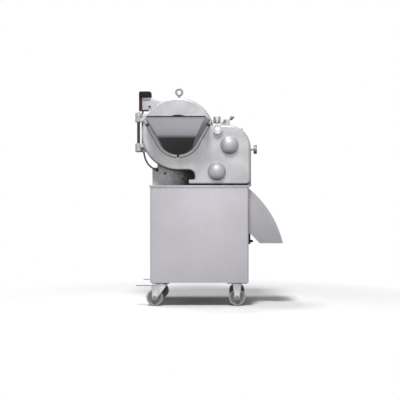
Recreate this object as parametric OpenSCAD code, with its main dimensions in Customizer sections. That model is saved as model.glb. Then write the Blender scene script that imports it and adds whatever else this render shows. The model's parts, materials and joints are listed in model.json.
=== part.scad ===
// Three-way vegetable dicer: a cast cutting head with a swinging door and feed hopper,
// standing on a sheet steel cabinet with casters. All lengths are in millimetres.
// X runs to the right, Y to the back and Z up; the floor is at Z = 0.

/* [Cabinet] */
// Width of the cabinet across the front
cabinet_w = 592; // [560:1:660]
// Depth of the cabinet from front to back
cabinet_d = 540; // [520:1:640]
// Height of the cabinet walls
cabinet_h = 576; // [540:1:640]
// Radius of the front corners of the cabinet
cabinet_corner = 9; // [5:0.5:20]
// Thickness of cabinet, funnel, chute and guard sheet
sheet = 3; // [2:0.5:4]
// Thickness of the floor plate under the cabinet
base_t = 6; // [4:0.5:10]
// Width of the angle posts in the cabinet corners
post_w = 40; // [30:1:60]
// Thickness of the deck plate on top of the cabinet
deck_t = 10; // [8:0.5:16]
// Overhang of the deck plate round the cabinet
deck_lip = 6; // [3:0.5:12]

/* [Casters] */
// Overall height of a caster, floor to cabinet
caster_h = 144; // [140:1:160]
// Radius of a caster wheel
wheel_r = 51; // [45:0.5:54]
// Width of a caster wheel
wheel_w = 32; // [26:1:36]
// Side clearance between a wheel and its fork
wheel_gap = 3; // [2:0.5:6]
// Thickness of the fork side plates
fork_t = 4; // [3:0.5:6]
// Radius of a wheel axle
axle_r = 6; // [5:0.5:8]
// Thickness of a caster top plate
caster_plate_t = 6; // [4:0.5:8]
// Distance of the caster centres from the front and back of the cabinet
caster_in_y = 60; // [55:1:90]
// Distance of the swivel axes from the left side
swivel_in = 63; // [55:1:90]
// Trail of a swivel wheel behind its swivel axis
swivel_trail = 39; // [30:0.5:45]
// Distance of the rigid wheel axes from the right side
rigid_in = 69; // [55:1:100]
// Length of a brake pedal from its pivot
pedal_l = 108; // [80:1:115]

/* [Cutting head] */
// Drum axis, measured from the middle of the cabinet
drum_x = -128; // [-134:1:-120]
// Height of the drum axis above the deck
drum_lift = 308; // [300:1:330]
// Outer radius of the drum
drum_r = 219; // [216:0.5:222]
// Room between the circular knife gear and the right wall of the knife section
section_room = 9.6; // [6:0.1:24]
// Top of the knife section above the drum axis
section_top = 54; // [50:1:60]
// Left edge of the knife section, from the drum axis
section_left = 102; // [98:1:110]
// Radius of the upper right corner of the knife section
corner_r = 132; // [110:1:140]
// Radius of the round notch between the drum and the knife section
blend_r = 36; // [30:1:38]
// Wall thickness of the castings
wall = 8; // [6:0.5:10]
// Depth of the housing behind the door
housing_d = 155; // [140:1:170]
// Thickness of the housing rear wall, which holds the front bearings
rear_wall = 14; // [12:0.5:18]
// Depth of the gear case behind the housing
gear_case_d = 60; // [50:1:80]
// Extra room of the gear case round the knife section
case_grow = 8; // [6:0.5:12]
// Thickness of the gear case cover, which holds the rear bearings
cover_t = 14; // [12:0.5:20]
// Left edge of the pedestal, from the drum axis
pedestal_left = 165; // [150:1:166]
// Height of the pedestal's left end above the deck
pedestal_h = 112; // [106:1:120]
// Setback of the pedestal behind the front of the housing
pedestal_setback = 55; // [40:1:70]

/* [Door] */
// Depth of the dished door
door_d = 60; // [50:1:70]
// Distance the door stands in front of the cabinet
door_proud = 5; // [0:0.5:20]
// Gap between the closed door and the housing
door_gap = 0.5; // [0.3:0.1:2]
// Gap between the door and the deck
door_lift = 4; // [3:0.5:8]
// Radius of the rounded front edge of the door
door_edge = 14; // [8:0.5:20]
// Radius of the feed inlet in the door
inlet_r = 116; // [100:0.5:118]
// Radius of the spindle domes on the door
dome_r = 56; // [50:0.5:62]
// Height of the spindle domes
dome_h = 46; // [35:0.5:50]
// Width of the collar round a dome
dome_collar = 8; // [4:0.5:9]
// Hinge axis, measured from the drum axis to the left
hinge_out = 240; // [238:1:252]
// Radius of the hinge rod
hinge_rod_r = 9; // [7:0.5:11]
// Radius of the hinge knuckles
knuckle_r = 20; // [16:0.5:21]
// Height of a hinge knuckle
knuckle_h = 24; // [18:0.5:30]
// Upper hinge joint face above the drum axis
hinge_up = 98; // [85:1:105]
// Lower hinge joint face below the drum axis
hinge_down = 80; // [70:1:90]
// Lock knob position right of the drum axis
lock_x = 237; // [230:1:245]
// Lock knob position above the drum axis
lock_z = 28; // [24:1:30]
// Radius of the lock knob
lock_r = 29; // [24:0.5:32]

/* [Hopper] */
// Inner radius of the round hopper bottom
hopper_r = 122; // [118:0.5:130]
// Half width of the hopper at the door, level with its lip
hopper_half_w = 190; // [180:1:195]
// Inset of the hopper sides at the front lip
hopper_taper = 20; // [10:1:26]
// Height of the hopper lip above the drum axis
hopper_lip = 87; // [75:1:95]
// Reach of the hopper lip in front of the door
hopper_reach = 180; // [150:1:200]
// Height at which the front plate starts, measured from the drum axis
front_plate_z = -24; // [-40:1:-10]
// Reach of the lower edge of the front plate
front_plate_y = 128; // [100:1:140]
// Radius of the rolled bend under the front plate
bend_r = 70; // [40:1:80]
// Width of the hopper flange on the door
flange_w = 18; // [16:0.5:24]
// Thickness of the hopper flange
flange_t = 6; // [4:0.5:10]

/* [Cutting parts] */
// Gear module
gear_m = 5; // [4.9:0.05:5.05]
// Teeth of the impeller gear
teeth_impeller = 81; // [80:1:82]
// Teeth of the circular knife gear
teeth_circular = 45; // [44:1:45]
// Teeth of the crosscut gear
teeth_crosscut = 25; // [24:1:26]
// Backlash along the pitch circle
backlash = 0.8; // [0.4:0.1:1.2]
// Face width of the gears
gear_w = 32; // [24:1:36]
// Direction of the circular knife axis from the impeller axis
mesh_a = -12.2; // [-13:0.1:-11]
// Direction of the crosscut axis from the circular knife axis
mesh_b = -115.5; // [-117:0.1:-114]
// Room between the slicing case and the drum wall, for the gate and its pivot
case_room = 31; // [28:0.5:40]
// Wall of the slicing case
case_t = 10; // [8:0.5:12]
// Gap between the impeller paddles and the slicing case
impeller_gap = 3; // [2:0.5:6]
// Number of impeller paddles
paddles = 5; // [3:1:6]
// Radius of the circular knives
circular_r = 106; // [95:0.5:108]
// Number of circular knives
circular_n = 11; // [7:1:13]
// Radius of the crosscut rotor over its knives
crosscut_r = 60; // [52:0.5:62]
// Number of crosscut knives
crosscut_n = 8; // [6:1:10]
// Radius of the impeller shaft
impeller_shaft_r = 20; // [16:0.5:24]
// Radius of the knife shafts
knife_shaft_r = 15; // [12:0.5:18]
// Radial thickness of the bearings
bearing_t = 14; // [10:0.5:16]

/* [Drive] */
// Height of the motor axis above the cabinet floor
motor_lift = 270; // [240:1:300]
// Radius of the motor body
motor_r = 92; // [80:1:100]
// Length of the motor body
motor_l = 190; // [160:1:210]
// Radius of the driven pulley
pulley_r = 120; // [110:1:130]
// Radius of the motor pulley
motor_pulley_r = 60; // [50:1:70]
// Width of one belt
belt_w = 12; // [10:0.5:14]
// Thickness of the belts
belt_t = 8; // [6:0.5:9]
// Width of the pulleys
pulley_w = 40; // [36:1:50]

/* [Chute] */
// Reach of the discharge chute beside the cabinet
chute_reach = 209; // [180:1:230]
// Drop of the chute mouth below the top of the cabinet
chute_drop = 340; // [320:1:380]
// Gap between the top of the chute and the top of the cabinet
chute_top_gap = 6; // [4:1:20]
// Radius of the curved outer wall of the chute
chute_r = 616; // [500:1:800]
// Start of the mouth, from the cabinet side
mouth_in = 68; // [50:1:90]
// Height of the sloping back plate of the chute
back_slope = 56; // [40:1:70]

/* [Knobs and switch] */
// Slice adjuster position right of the drum axis
adjuster_x = 232; // [226:1:240]
// Radius of the slice adjuster
adjuster_r = 24; // [20:0.5:28]
// Height of the slice adjuster
adjuster_h = 40; // [32:1:46]
// Height of the slice adjuster above the knife section
adjuster_lift = 24; // [16:1:28]
// Width of the lock lug on top of the housing
lug_w = 42; // [36:1:48]
// Height of the lock lug
lug_h = 41; // [36:1:46]
// Right edge of the lock lug, from the drum axis
lug_x = 312; // [308:1:316]
// Radius of the lock screw in the lug
lock_screw_r = 5; // [4:0.5:6]
// Height of the side clamp knob below the drum axis
clamp_down = 84; // [76:1:92]
// Radius of the side clamp knob
clamp_r = 27; // [22:0.5:30]
// Outer radius of the lifting eye
eye_r = 25; // [20:0.5:30]
// Half thickness of the bar of the lifting eye
eye_bar = 6.5; // [5:0.5:8]
// Length of the plain wall inside the lifting eye
eye_land = 5; // [3:0.5:8]
// Height of the shank under the lifting eye
eye_shank = 21; // [14:0.5:26]
// Setback of the lifting eye behind the front of the housing
eye_setback = 50; // [40:1:80]
// Left side of the switch body, from the drum axis
switch_out = 243; // [243:1:250]
// Width of the switch body
switch_w = 58; // [50:1:58]
// Height of the switch body
switch_h = 78; // [70:1:86]
// Depth of the switch body
switch_d = 36; // [30:1:44]
// Underside of the switch body above the drum axis
switch_lift = 148; // [140:1:156]
// Width of the switch cap
switch_cap_w = 75; // [66:1:80]
// Thickness of the switch bracket
switch_plate_t = 8; // [5:0.5:10]
// Height of the switch cap
switch_cap_h = 40; // [34:1:48]
// Radius of the switch cable
cable_r = 4; // [3:0.5:5]

/* [Fits] */
// Radial clearance of running fits
fit = 0.05; // [0.02:0.01:0.1]
// Radial clearance of seated fits
slip = 0.02; // [0.01:0.01:0.05]
// Clearance between faces that turn past each other
turn_gap = 0.4; // [0.3:0.1:1]

/* [Hidden] */
$fn = 64;
steel = "#c4c2c6";
cast = "#bcbabd";
rough = "#8e8c8f";
bright = "#d8d8d8";
black = "#1c1c1e";
grey = "#c9c9c6";

base_z = caster_h;
base_top = base_z + base_t;
deck_z = base_z + cabinet_h;
deck_top = deck_z + deck_t;
half_w = cabinet_w / 2;
half_d = cabinet_d / 2;
drum_z = deck_top + drum_lift;
circular_reach = gear_m * (teeth_impeller + teeth_circular) / 2;
circular_tip = gear_m * (teeth_circular + 2) / 2;
section_w = circular_reach * cos(mesh_a) + max(circular_tip - case_grow, circular_r) + wall + section_room;
section_right = drum_x + section_w;
corner_x = section_right - corner_r;
corner_z = drum_z + section_top - corner_r;
// Skin of metal left round the notch under the drum
blend_skin = 1;

// Planes from front to back
door_y = -half_d - door_proud;
door_back = door_y + door_d;
housing_y = door_back + door_gap;
housing_back = housing_y + housing_d;
chamber_back = housing_back - rear_wall;
case_back = housing_back + gear_case_d;
cover_back = case_back + cover_t;
pedestal_y = housing_y + pedestal_setback;
pulley_y = cover_back + 14;
pulley_back = pulley_y + pulley_w;
guard_back = pulley_back + 18;

// Axes of the three spindles
impeller_at = [drum_x, drum_z];
circular_at = impeller_at + circular_reach * [cos(mesh_a), sin(mesh_a)];
crosscut_at = circular_at + gear_m * (teeth_circular + teeth_crosscut) / 2 * [cos(mesh_b), sin(mesh_b)];
motor_at = [drum_x, base_top + motor_lift];

// Tooth positions that bring the gears into mesh
circular_turn = mesh_a + 180 + 180 / teeth_circular;
circular_step = 360 / teeth_circular;
mesh_offset = (mesh_b - circular_turn) - circular_step * floor((mesh_b - circular_turn) / circular_step);
crosscut_turn = mesh_b + 180 + (mesh_offset * teeth_circular - 180) / teeth_crosscut;

hinge_x = drum_x - hinge_out;
hinge_y = door_y + door_d / 2;
chute_x = half_w + chute_reach;
chute_low = deck_z - chute_drop;
chute_top = deck_z - chute_top_gap;
chute_front = housing_y - 8;
chute_back = housing_back + 8;
hopper_y = door_y - hopper_reach;
front_caster_y = -half_d + caster_in_y;
rear_caster_y = half_d - caster_in_y;
swivel_x = -half_w + swivel_in;
swivel_wheel_x = swivel_x - swivel_trail;
rigid_x = half_w - rigid_in;
fork_in = wheel_w / 2 + wheel_gap;
pedal_x = swivel_wheel_x - 6;
pedal_z = wheel_r * 2 + 16;

// Slicing parts round the impeller
case_r = drum_r - wall - case_room - case_t;
impeller_r = case_r - impeller_gap;
knife_a = -8;
gate_a0 = 9;
gate_a1 = 38;
gate_pin_r = 5;
gate_at = impeller_at + (case_r + case_t + 4) * [cos(gate_a1 - 6), sin(gate_a1 - 6)];

// Knobs and fittings round the head
nipple_a = 55;
nipple_r = 7;
lock_at = impeller_at + [lock_x, lock_z];
lock_boss = 14;
lug_y = housing_y + 30;
lug_top = drum_z + section_top + lug_h;
adjuster_y = housing_y + housing_d / 2;
adjuster_stem = 9;
clamp_z = drum_z - clamp_down;
clamp_stem = 6;
gland_at = impeller_at + [-137, -211];
gland_l = 10;
switch_x = drum_x - switch_out;
switch_z = drum_z + switch_lift;
switch_top = switch_z + switch_h;
switch_y = housing_y + 10 + switch_plate_t;

// Route of the switch cable, from the switch down behind the hinge to the gland
cable_route = [for (p = [
    [-222, 42.5, 148], [-223, 43.5, 128], [-224, 45.5, 100], [-225, 47.5, 68], [-225, 48.5, 34], [-225, 48.5, 0],
    [-225, 48.5, -34], [-222, 48.5, -70], [-217, 47.5, -102], [-210, 44.5, -133], [-199, 38.5, -160],
    [-184, 28.5, -181], [-166, 19.5, -197], [-150, 16.5, -207], [-140, 24.5, -211], [-137, 37, -211]
]) [drum_x, housing_y, drum_z] + p];

// The origin is the middle of the floor under the whole machine
center_x = (min(hinge_x - knuckle_r, pedal_x - pedal_l) + chute_x) / 2;
center_y = (hopper_y + half_d + deck_lip) / 2;

// Moves the machine so that the origin is the middle of its floor area
module placed() {
    translate([-center_x, -center_y, 0]) children();
}

// Extrudes a front view from one depth to another
module through_y(y0, y1) {
    translate([0, y1, 0]) rotate([90, 0, 0]) linear_extrude(y1 - y0) children();
}

// Round bar along Y at a place in the front view
module bar_y(at, r, y0, y1) {
    translate([at[0], y1, at[1]]) rotate([90, 0, 0]) cylinder(r = r, h = y1 - y0);
}

// Round bar along X
module bar_x(y, z, r, x0, x1) {
    translate([x0, y, z]) rotate([0, 90, 0]) cylinder(r = r, h = x1 - x0);
}

// Box between two corners
module box(a, b) {
    translate(a) cube(b - a);
}

// Hexagon head along Y
module hex_y(at, across, y0, y1) {
    translate([at[0], y1, at[1]]) rotate([90, 0, 0]) cylinder(d = across / cos(30), h = y1 - y0, $fn = 6);
}

// Knife section of the cutting head in front view, down to a given level
module section2d(inset, low) {
    left = drum_x + section_left + inset;
    translate([left, low]) square([corner_x - left, drum_z + section_top - inset - low]);
    translate([left, low]) square([section_right - inset - left, corner_z - low]);
    translate([corner_x, corner_z]) circle(corner_r - inset);
}

// Round notch where the level underside of the drum turns down into the foot of the knife section
module blend2d(low) {
    under = drum_z - drum_r + blend_skin;
    left = drum_x + section_left - blend_r;
    difference() {
        union() {
            translate([drum_x, under]) square([section_left + blend_skin, blend_r]);
            translate([left, low]) square([blend_r + blend_skin, under - low + blend_r]);
        }
        translate([left - blend_skin, under - blend_r - blend_skin]) circle(blend_r);
    }
}

// Outline of the whole cutting head in front view
module head2d(inset, low) {
    translate(impeller_at) circle(drum_r - inset);
    section2d(inset, low);
    if (inset == 0) blend2d(low);
}

// Rounded edge section: first axis outwards, second axis to the front
module edge2d(w, d, edge) {
    square([w - edge, d]);
    square([w, d - edge]);
    translate([w - edge, d - edge]) circle(edge);
}

// Round disc with a rounded front edge
module puck(at, r, d, edge) {
    translate([at[0], door_back, at[1]]) rotate([90, 0, 0]) rotate_extrude() edge2d(r, d, edge);
}

// Solid of the door outline with a rounded front edge
module door_form(inset, d, edge) {
    c = 2 * door_edge + 2;
    left = drum_x + section_left + c;
    low = deck_top + door_lift + c;
    high = drum_z + section_top - c;
    right = section_right - c;
    w = c - inset;
    puck(impeller_at, drum_r - inset, d, edge);
    puck([corner_x, corner_z], corner_r - inset, d, edge);
    for (p = [[left, low], [right, low], [left, high]]) puck(p, w, d, edge);
    if (inset == 0) door_blend(d, edge);
    box([left, door_back - d, low], [right, door_back, corner_z]);
    box([left, door_back - d, low], [corner_x, door_back, high]);
    translate([right, door_back, low]) linear_extrude(corner_z - low) mirror([0, 1]) edge2d(w, d, edge);
    translate([corner_x, door_back, high]) rotate([0, -90, 0])
        linear_extrude(corner_x - left) mirror([0, 1]) edge2d(w, d, edge);
    foot = inset == 0 ? drum_x + section_left - blend_r : left;
    translate([foot, door_back, low]) rotate([0, 90, 0])
        linear_extrude(right - foot) mirror([0, 1]) edge2d(w, d, edge);
    translate([left, door_back, high]) rotate([0, 180, 0])
        linear_extrude(high - low) mirror([0, 1]) edge2d(w, d, edge);
}

// Part of the door between the drum and the knife section, with a round edge along the notch
module door_blend(d, edge) {
    low = deck_top + door_lift + 2 * edge;
    under = drum_z - drum_r + blend_skin;
    left = drum_x + section_left - blend_r;
    right = drum_x + section_left + 2 * edge;
    // The round is set in a little, so that it crosses the flat faces instead of just touching them
    middle = edge - 0.4;
    difference() {
        union() {
            box([drum_x, door_back - d, under], [right, door_back, under + blend_r + 2 * edge]);
            box([left, door_back - d, low], [right, door_back, under + blend_r]);
        }
        translate([left - blend_skin, door_back, under - blend_r - blend_skin]) rotate([90, 0, 0]) {
            cylinder(r = blend_r, h = d + 1);
            rotate_extrude() difference() {
                translate([blend_r - 1, d - middle]) square([middle + 1, middle + 1]);
                translate([blend_r + middle, d - middle]) circle(edge);
            }
        }
        translate([drum_x - 1, door_back - d, under]) rotate([90, 0, 90]) linear_extrude(section_left - blend_r + 1)
            difference() {
                translate([-1, -1]) square(middle + 1);
                translate([middle, middle]) circle(edge);
            }
    }
}

// Cabinet outline seen from above, with round front corners
module cabinet2d(inset) {
    r = cabinet_corner - inset;
    w = cabinet_w - 2 * inset;
    translate([-w / 2, -half_d + cabinet_corner]) square([w, cabinet_d - cabinet_corner - sheet]);
    translate([-half_w + cabinet_corner, -half_d + inset]) square([cabinet_w - 2 * cabinet_corner, cabinet_corner]);
    for (x = [-1, 1]) translate([x * (half_w - cabinet_corner), -half_d + cabinet_corner]) circle(r);
}

module base_frame() color(steel) placed() {
    translate([0, 0, base_z]) linear_extrude(base_t) cabinet2d(sheet + turn_gap);
    translate([0, 0, base_top]) linear_extrude(deck_z - base_top) intersection() {
        cabinet2d(sheet + turn_gap);
        for (x = [-1, 1]) for (y = [-1, 1]) difference() {
            translate([x * half_w - post_w * (x + 1) / 2, y * half_d - post_w * (y + 1) / 2]) square(post_w);
            translate([x * (half_w - 2 * sheet) - post_w * (x + 1) / 2,
                y * (half_d - 2 * sheet) - sheet * (y + 1) / 2 - post_w * (y + 1) / 2]) square(post_w);
        }
    }
}

module cabinet_wrap() color(steel) placed() difference() {
    translate([0, 0, base_z]) linear_extrude(cabinet_h) difference() {
        cabinet2d(0);
        cabinet2d(sheet);
        translate([-half_w + sheet, half_d - 2 * sheet]) square([cabinet_w - 2 * sheet, 2 * sheet]);
    }
    box([half_w - 2 * sheet, chute_front + sheet, chute_low + back_slope + sheet],
        [half_w + sheet, chute_back - sheet, chute_top - sheet]);
}

module rear_panel() color(steel) placed() difference() {
    box([-half_w, half_d - sheet, base_z], [half_w, half_d, deck_z]);
    for (x = [-1, 1]) for (k = [0:6]) {
        translate([x * 110, half_d, base_top + 110 + k * 26]) box([-70, -2 * sheet, -4], [70, sheet, 4]);
    }
}

module deck_plate() color(steel) placed() difference() {
    box([-half_w - deck_lip, -half_d - deck_lip, deck_z], [half_w + deck_lip, half_d + deck_lip, deck_top]);
    box([drum_x + section_left + wall, housing_y + wall, deck_z - 1],
        [min(half_w - sheet, section_right - wall), chamber_back, deck_top + 1]);
    box([drum_x - pulley_r + 8, cover_back + sheet, deck_z - 1],
        [drum_x + pulley_r - 8, guard_back - sheet, deck_top + 1]);
}

module pedestal() color(rough) placed() difference() {
    box([drum_x - pedestal_left, pedestal_y, deck_top],
        [drum_x + section_left, case_back, deck_top + pedestal_h]);
    through_y(pedestal_y - 1, housing_back) head2d(0, deck_top - 1);
    through_y(housing_back - 1, case_back + 1) case2d(0);
}

// Grease nipple that stands out of the round corner of the knife section
module nipple() {
    translate([corner_x, lug_y, corner_z]) rotate([0, 90 - nipple_a, 0]) {
        translate([0, 0, corner_r - wall / 2]) cylinder(r = nipple_r, h = wall / 2 + 9);
        translate([0, 0, corner_r]) cylinder(r = nipple_r / 2, h = 16);
    }
}

// Swing bolt beside the lock lug, leaning to the right
module swing_bolt() {
    translate([drum_x + lug_x - lug_w - 20, lug_y - 22, drum_z + section_top - wall / 2]) rotate([0, 34, 0]) {
        cylinder(r = lock_screw_r, h = 56);
        translate([0, 0, 44]) cylinder(r = lock_screw_r + 3, h = 9);
    }
}

// Places of the three spindles with the radius of their shafts
function spindles() = [
    [impeller_at, impeller_shaft_r], [circular_at, knife_shaft_r], [crosscut_at, knife_shaft_r]
];

module housing() color(cast) placed() difference() {
    union() {
        difference() {
            through_y(housing_y, housing_back) head2d(0, deck_top);
            through_y(housing_y - 1, chamber_back) head2d(wall, deck_top + wall);
            box([drum_x + section_left + wall, housing_y + wall, deck_top - 1],
                [min(half_w - sheet, section_right - wall), chamber_back, deck_top + wall + 1]);
        }
        bar_y(lock_at, lock_r - 9, housing_y, housing_y + lock_boss);
        box([drum_x + lug_x - lug_w, lug_y - 14, drum_z + section_top - wall / 2],
            [drum_x + lug_x, lug_y + 14, lug_top]);
        nipple();
        swing_bolt();
    }
    for (s = spindles()) bar_y(s[0], s[1] + bearing_t, chamber_back - 1, housing_back + 1);
    bar_y(lock_at, lock_stud_r + fit, housing_y - 1, housing_y + lock_boss + 1);
    bar_y(gate_at, gate_pin_r + fit, chamber_back - 1, chamber_back + 8);
    translate([drum_x + adjuster_x, adjuster_y, drum_z]) cylinder(r = adjuster_stem + fit, h = section_top + 1);
    bar_x(adjuster_y, clamp_z, clamp_stem + fit, section_right - wall - 1, section_right + 1);
    lock_screw_axis() cylinder(r = lock_screw_r + fit, h = lug_w);
}

// Outline of the gear case, set in by a wall
module case2d(inset) {
    translate(impeller_at) circle(drum_r - inset);
    section2d(inset - case_grow, deck_top + inset);
}

module gear_case() color(cast) placed() through_y(housing_back, case_back) difference() {
    case2d(0);
    case2d(wall);
}

module gear_case_cover() color(cast) placed() difference() {
    through_y(case_back, cover_back) case2d(0);
    for (s = spindles()) bar_y(s[0], s[1] + bearing_t, case_back - 1, cover_back + 1);
}

module spindle_bearings() color(bright) placed() {
    for (s = spindles()) for (y = [[chamber_back, housing_back], [case_back, cover_back]]) difference() {
        bar_y(s[0], s[1] + bearing_t - slip, y[0], y[1]);
        bar_y(s[0], s[1] + fit, y[0] - 1, y[1] + 1);
    }
}

// Sector of the front view between two directions from the drum axis
module sector2d(a0, a1) {
    far = 2 * drum_r;
    translate(impeller_at) polygon([[0, 0], far * [cos(a0), sin(a0)],
        far * [cos((a0 + a1) / 2), sin((a0 + a1) / 2)], far * [cos(a1), sin(a1)]]);
}

module slicing_case() color(bright) placed() through_y(housing_y + 12, chamber_back) difference() {
    translate(impeller_at) circle(case_r + case_t);
    translate(impeller_at) circle(case_r);
    sector2d(knife_a, gate_a1);
}

module slicing_knife() color(bright) placed() through_y(housing_y + 14, chamber_back - 2) translate(impeller_at)
    polygon([for (p = [[0.8 * case_t, 0], [0.2 * case_t, 0], [1, 8], [0.4 * case_t, 6]])
        (case_r + p[0]) * [cos(knife_a + p[1]), sin(knife_a + p[1])]]);

module slice_gate() color(bright) placed() {
    through_y(housing_y + 14, chamber_back - 2) difference() {
        union() {
            intersection() {
                translate(impeller_at) difference() {
                    circle(case_r + case_t);
                    circle(case_r);
                }
                sector2d(gate_a0, gate_a1 - 2);
            }
            translate(gate_at) circle(2 * gate_pin_r);
        }
        translate(impeller_at) circle(case_r);
    }
    bar_y(gate_at, gate_pin_r, chamber_back - 3, chamber_back + 6);
}

module impeller() color(bright) placed() difference() {
    union() {
        bar_y(impeller_at, impeller_r, chamber_back - 14, chamber_back - 6);
        bar_y(impeller_at, impeller_shaft_r + 14, chamber_back - 40, chamber_back - 6);
        intersection() {
            bar_y(impeller_at, impeller_r, housing_y + 16, chamber_back - 10);
            for (k = [0:paddles - 1]) translate([drum_x, 0, drum_z]) rotate([0, k * 360 / paddles, 0])
                translate([70, 0, 0]) rotate([0, 22, 0])
                    box([0, housing_y + 16, -4], [impeller_r, chamber_back - 10, 4]);
        }
    }
    bar_y(impeller_at, impeller_shaft_r + slip, chamber_back - 41, chamber_back);
}

module impeller_shaft() color(bright) placed() {
    bar_y(impeller_at, impeller_shaft_r, chamber_back - 40, pulley_back + 6);
    hex_y(impeller_at, 46, chamber_back - 56, chamber_back - 40);
}

// Involute helpers: pitch, base, root and tip radius of a gear, and half a tooth at a radius
function pitch_r(n) = gear_m * n / 2;
function base_r(n) = pitch_r(n) * cos(20);
function spread(a) = tan(a) * 180 / PI - a;
function half_tooth(n, r) =
    90 / n - backlash / 2 / pitch_r(n) * 180 / PI + spread(20) - spread(acos(min(1, base_r(n) / r)));
flank_steps = 4;
function flank_r(n, k) = pitch_r(n) + gear_m * (-1.25 + 2.25 * k / flank_steps);
function gear_points(n, turn) = [
    for (i = [0:n - 1]) for (s = [-1, 1]) for (k = [0:flank_steps])
        let (r = flank_r(n, s < 0 ? k : flank_steps - k), a = turn + i * 360 / n + s * half_tooth(n, r))
            r * [cos(a), sin(a)]
];

// Spur gear with a bored hub and a web between rim and hub
module gear(at, n, turn, bore) {
    y0 = housing_back + (gear_case_d - gear_w) / 2;
    rim = pitch_r(n) - 3.5 * gear_m;
    hub = bore + 12;
    difference() {
        through_y(y0, y0 + gear_w) translate(at) polygon(gear_points(n, turn));
        if (rim > hub + 15) for (y = [y0 - 1, y0 + gear_w - 9]) difference() {
            bar_y(at, rim, y, y + 10);
            bar_y(at, hub, y - 1, y + 11);
        }
        bar_y(at, bore + slip, y0 - 1, y0 + gear_w + 1);
    }
}

module impeller_gear() color(bright) placed() gear(impeller_at, teeth_impeller, mesh_a, impeller_shaft_r);
module circular_gear() color(bright) placed() gear(circular_at, teeth_circular, circular_turn, knife_shaft_r);
module crosscut_gear() color(bright) placed() gear(crosscut_at, teeth_crosscut, crosscut_turn, knife_shaft_r);

knives_y = housing_y + 18;
knives_back = chamber_back - 6;

module circular_knives() color(bright) placed() difference() {
    union() {
        bar_y(circular_at, knife_shaft_r + 22, knives_y, knives_back);
        for (k = [0:circular_n - 1]) {
            y = knives_y + (k + 0.5) * (knives_back - knives_y) / circular_n;
            bar_y(circular_at, circular_r, y - 1.2, y + 1.2);
        }
    }
    bar_y(circular_at, knife_shaft_r + slip, knives_y - 1, knives_back + 1);
}

module circular_shaft() color(bright) placed() {
    bar_y(circular_at, knife_shaft_r, knives_y - 2, cover_back);
    hex_y(circular_at, 44, knives_y - 16, knives_y - 2);
}

module crosscut_rotor() color(bright) placed() difference() {
    union() {
        bar_y(crosscut_at, crosscut_r - 16, knives_y, knives_back);
        bar_y(crosscut_at, knife_shaft_r, knives_back, cover_back);
    }
    for (k = [0:crosscut_n - 1]) translate([crosscut_at[0], 0, crosscut_at[1]]) rotate([0, k * 360 / crosscut_n, 0])
        box([crosscut_r - 26 - slip, knives_y - 1, -2 - slip], [crosscut_r, knives_back - 6 + slip, 2 + slip]);
}

module crosscut_knives() color(bright) placed() {
    for (k = [0:crosscut_n - 1]) translate([crosscut_at[0], 0, crosscut_at[1]]) rotate([0, k * 360 / crosscut_n, 0])
        through_y(knives_y, knives_back - 6) polygon([[crosscut_r - 26, -2], [crosscut_r - 7, -2], [crosscut_r, 2],
            [crosscut_r - 26, 2]]);
}

// Closed belt line round both pulleys, pushed out by a distance
function belt_points(grow) = let (
    steps = 40,
    lean = asin((pulley_r - motor_pulley_r) / (impeller_at[1] - motor_at[1]))
) concat(
    [for (k = [0:steps]) let (a = -lean + k * (180 + 2 * lean) / steps)
        impeller_at + (pulley_r + grow) * [cos(a), sin(a)]],
    [for (k = [0:steps]) let (a = 180 + lean + k * (180 - 2 * lean) / steps)
        motor_at + (motor_pulley_r + grow) * [cos(a), sin(a)]]
);

// Middle of each belt along Y
belt_places = [for (s = [-1, 1]) pulley_y + pulley_w / 2 + s * pulley_w / 4];

module drive_belts() color(black) placed() {
    for (y = belt_places) through_y(y - belt_w / 2, y + belt_w / 2) difference() {
        polygon(belt_points(belt_t));
        polygon(belt_points(0));
    }
}

// Grooved belt pulley
module pulley(at, r, bore) {
    difference() {
        bar_y(at, r + belt_t - 2, pulley_y, pulley_back);
        for (y = belt_places) difference() {
            bar_y(at, r + belt_t, y - belt_w / 2 - 1, y + belt_w / 2 + 1);
            bar_y(at, r - turn_gap, y - belt_w, y + belt_w);
        }
        bar_y(at, bore + slip, pulley_y - 1, pulley_back + 1);
    }
}

module drive_pulley() color(rough) placed() pulley(impeller_at, pulley_r, impeller_shaft_r);
module motor_pulley() color(rough) placed() pulley(motor_at, motor_pulley_r, motor_shaft_r);

// Outline of the belt guard in front view
module guard2d(inset) {
    r = pulley_r + 30 - inset;
    translate(impeller_at) circle(r);
    translate([drum_x - r, deck_top]) square([2 * r, drum_lift]);
}

module belt_guard() color(steel) placed() difference() {
    through_y(cover_back, guard_back) guard2d(0);
    through_y(cover_back + sheet, guard_back - sheet) guard2d(sheet);
    bar_y(impeller_at, impeller_shaft_r + bearing_t, cover_back - 1, cover_back + sheet + 1);
}

motor_shaft_r = 14;
motor_y1 = pulley_y - 12;
motor_y0 = motor_y1 - motor_l;
motor_foot = motor_at[1] - motor_r - 8;

module motor_body() color(rough) placed() difference() {
    union() {
        bar_y(motor_at, motor_r - 6, motor_y0, motor_y1);
        for (k = [0:23]) translate([motor_at[0], 0, motor_at[1]]) rotate([0, k * 15, 0])
            box([motor_r - 10, motor_y0 + 10, -1.5], [motor_r - 2, motor_y1 - 10, 1.5]);
        for (y = [motor_y0, motor_y1 - 14]) bar_y(motor_at, motor_r, y, y + 14);
        for (x = [-1, 1]) translate([motor_at[0] + x * 70, 0, 0])
            box([-22, motor_y0 + 20, motor_foot], [22, motor_y1 - 20, motor_at[1] - motor_r + 40]);
        box([motor_at[0] - 45, motor_y0 + 60, motor_at[1]], [motor_at[0] + 45, motor_y0 + 140, motor_at[1] + motor_r + 34]);
    }
    bar_y(motor_at, motor_shaft_r + fit, motor_y0 - 1, motor_y1 + 1);
}

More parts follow.
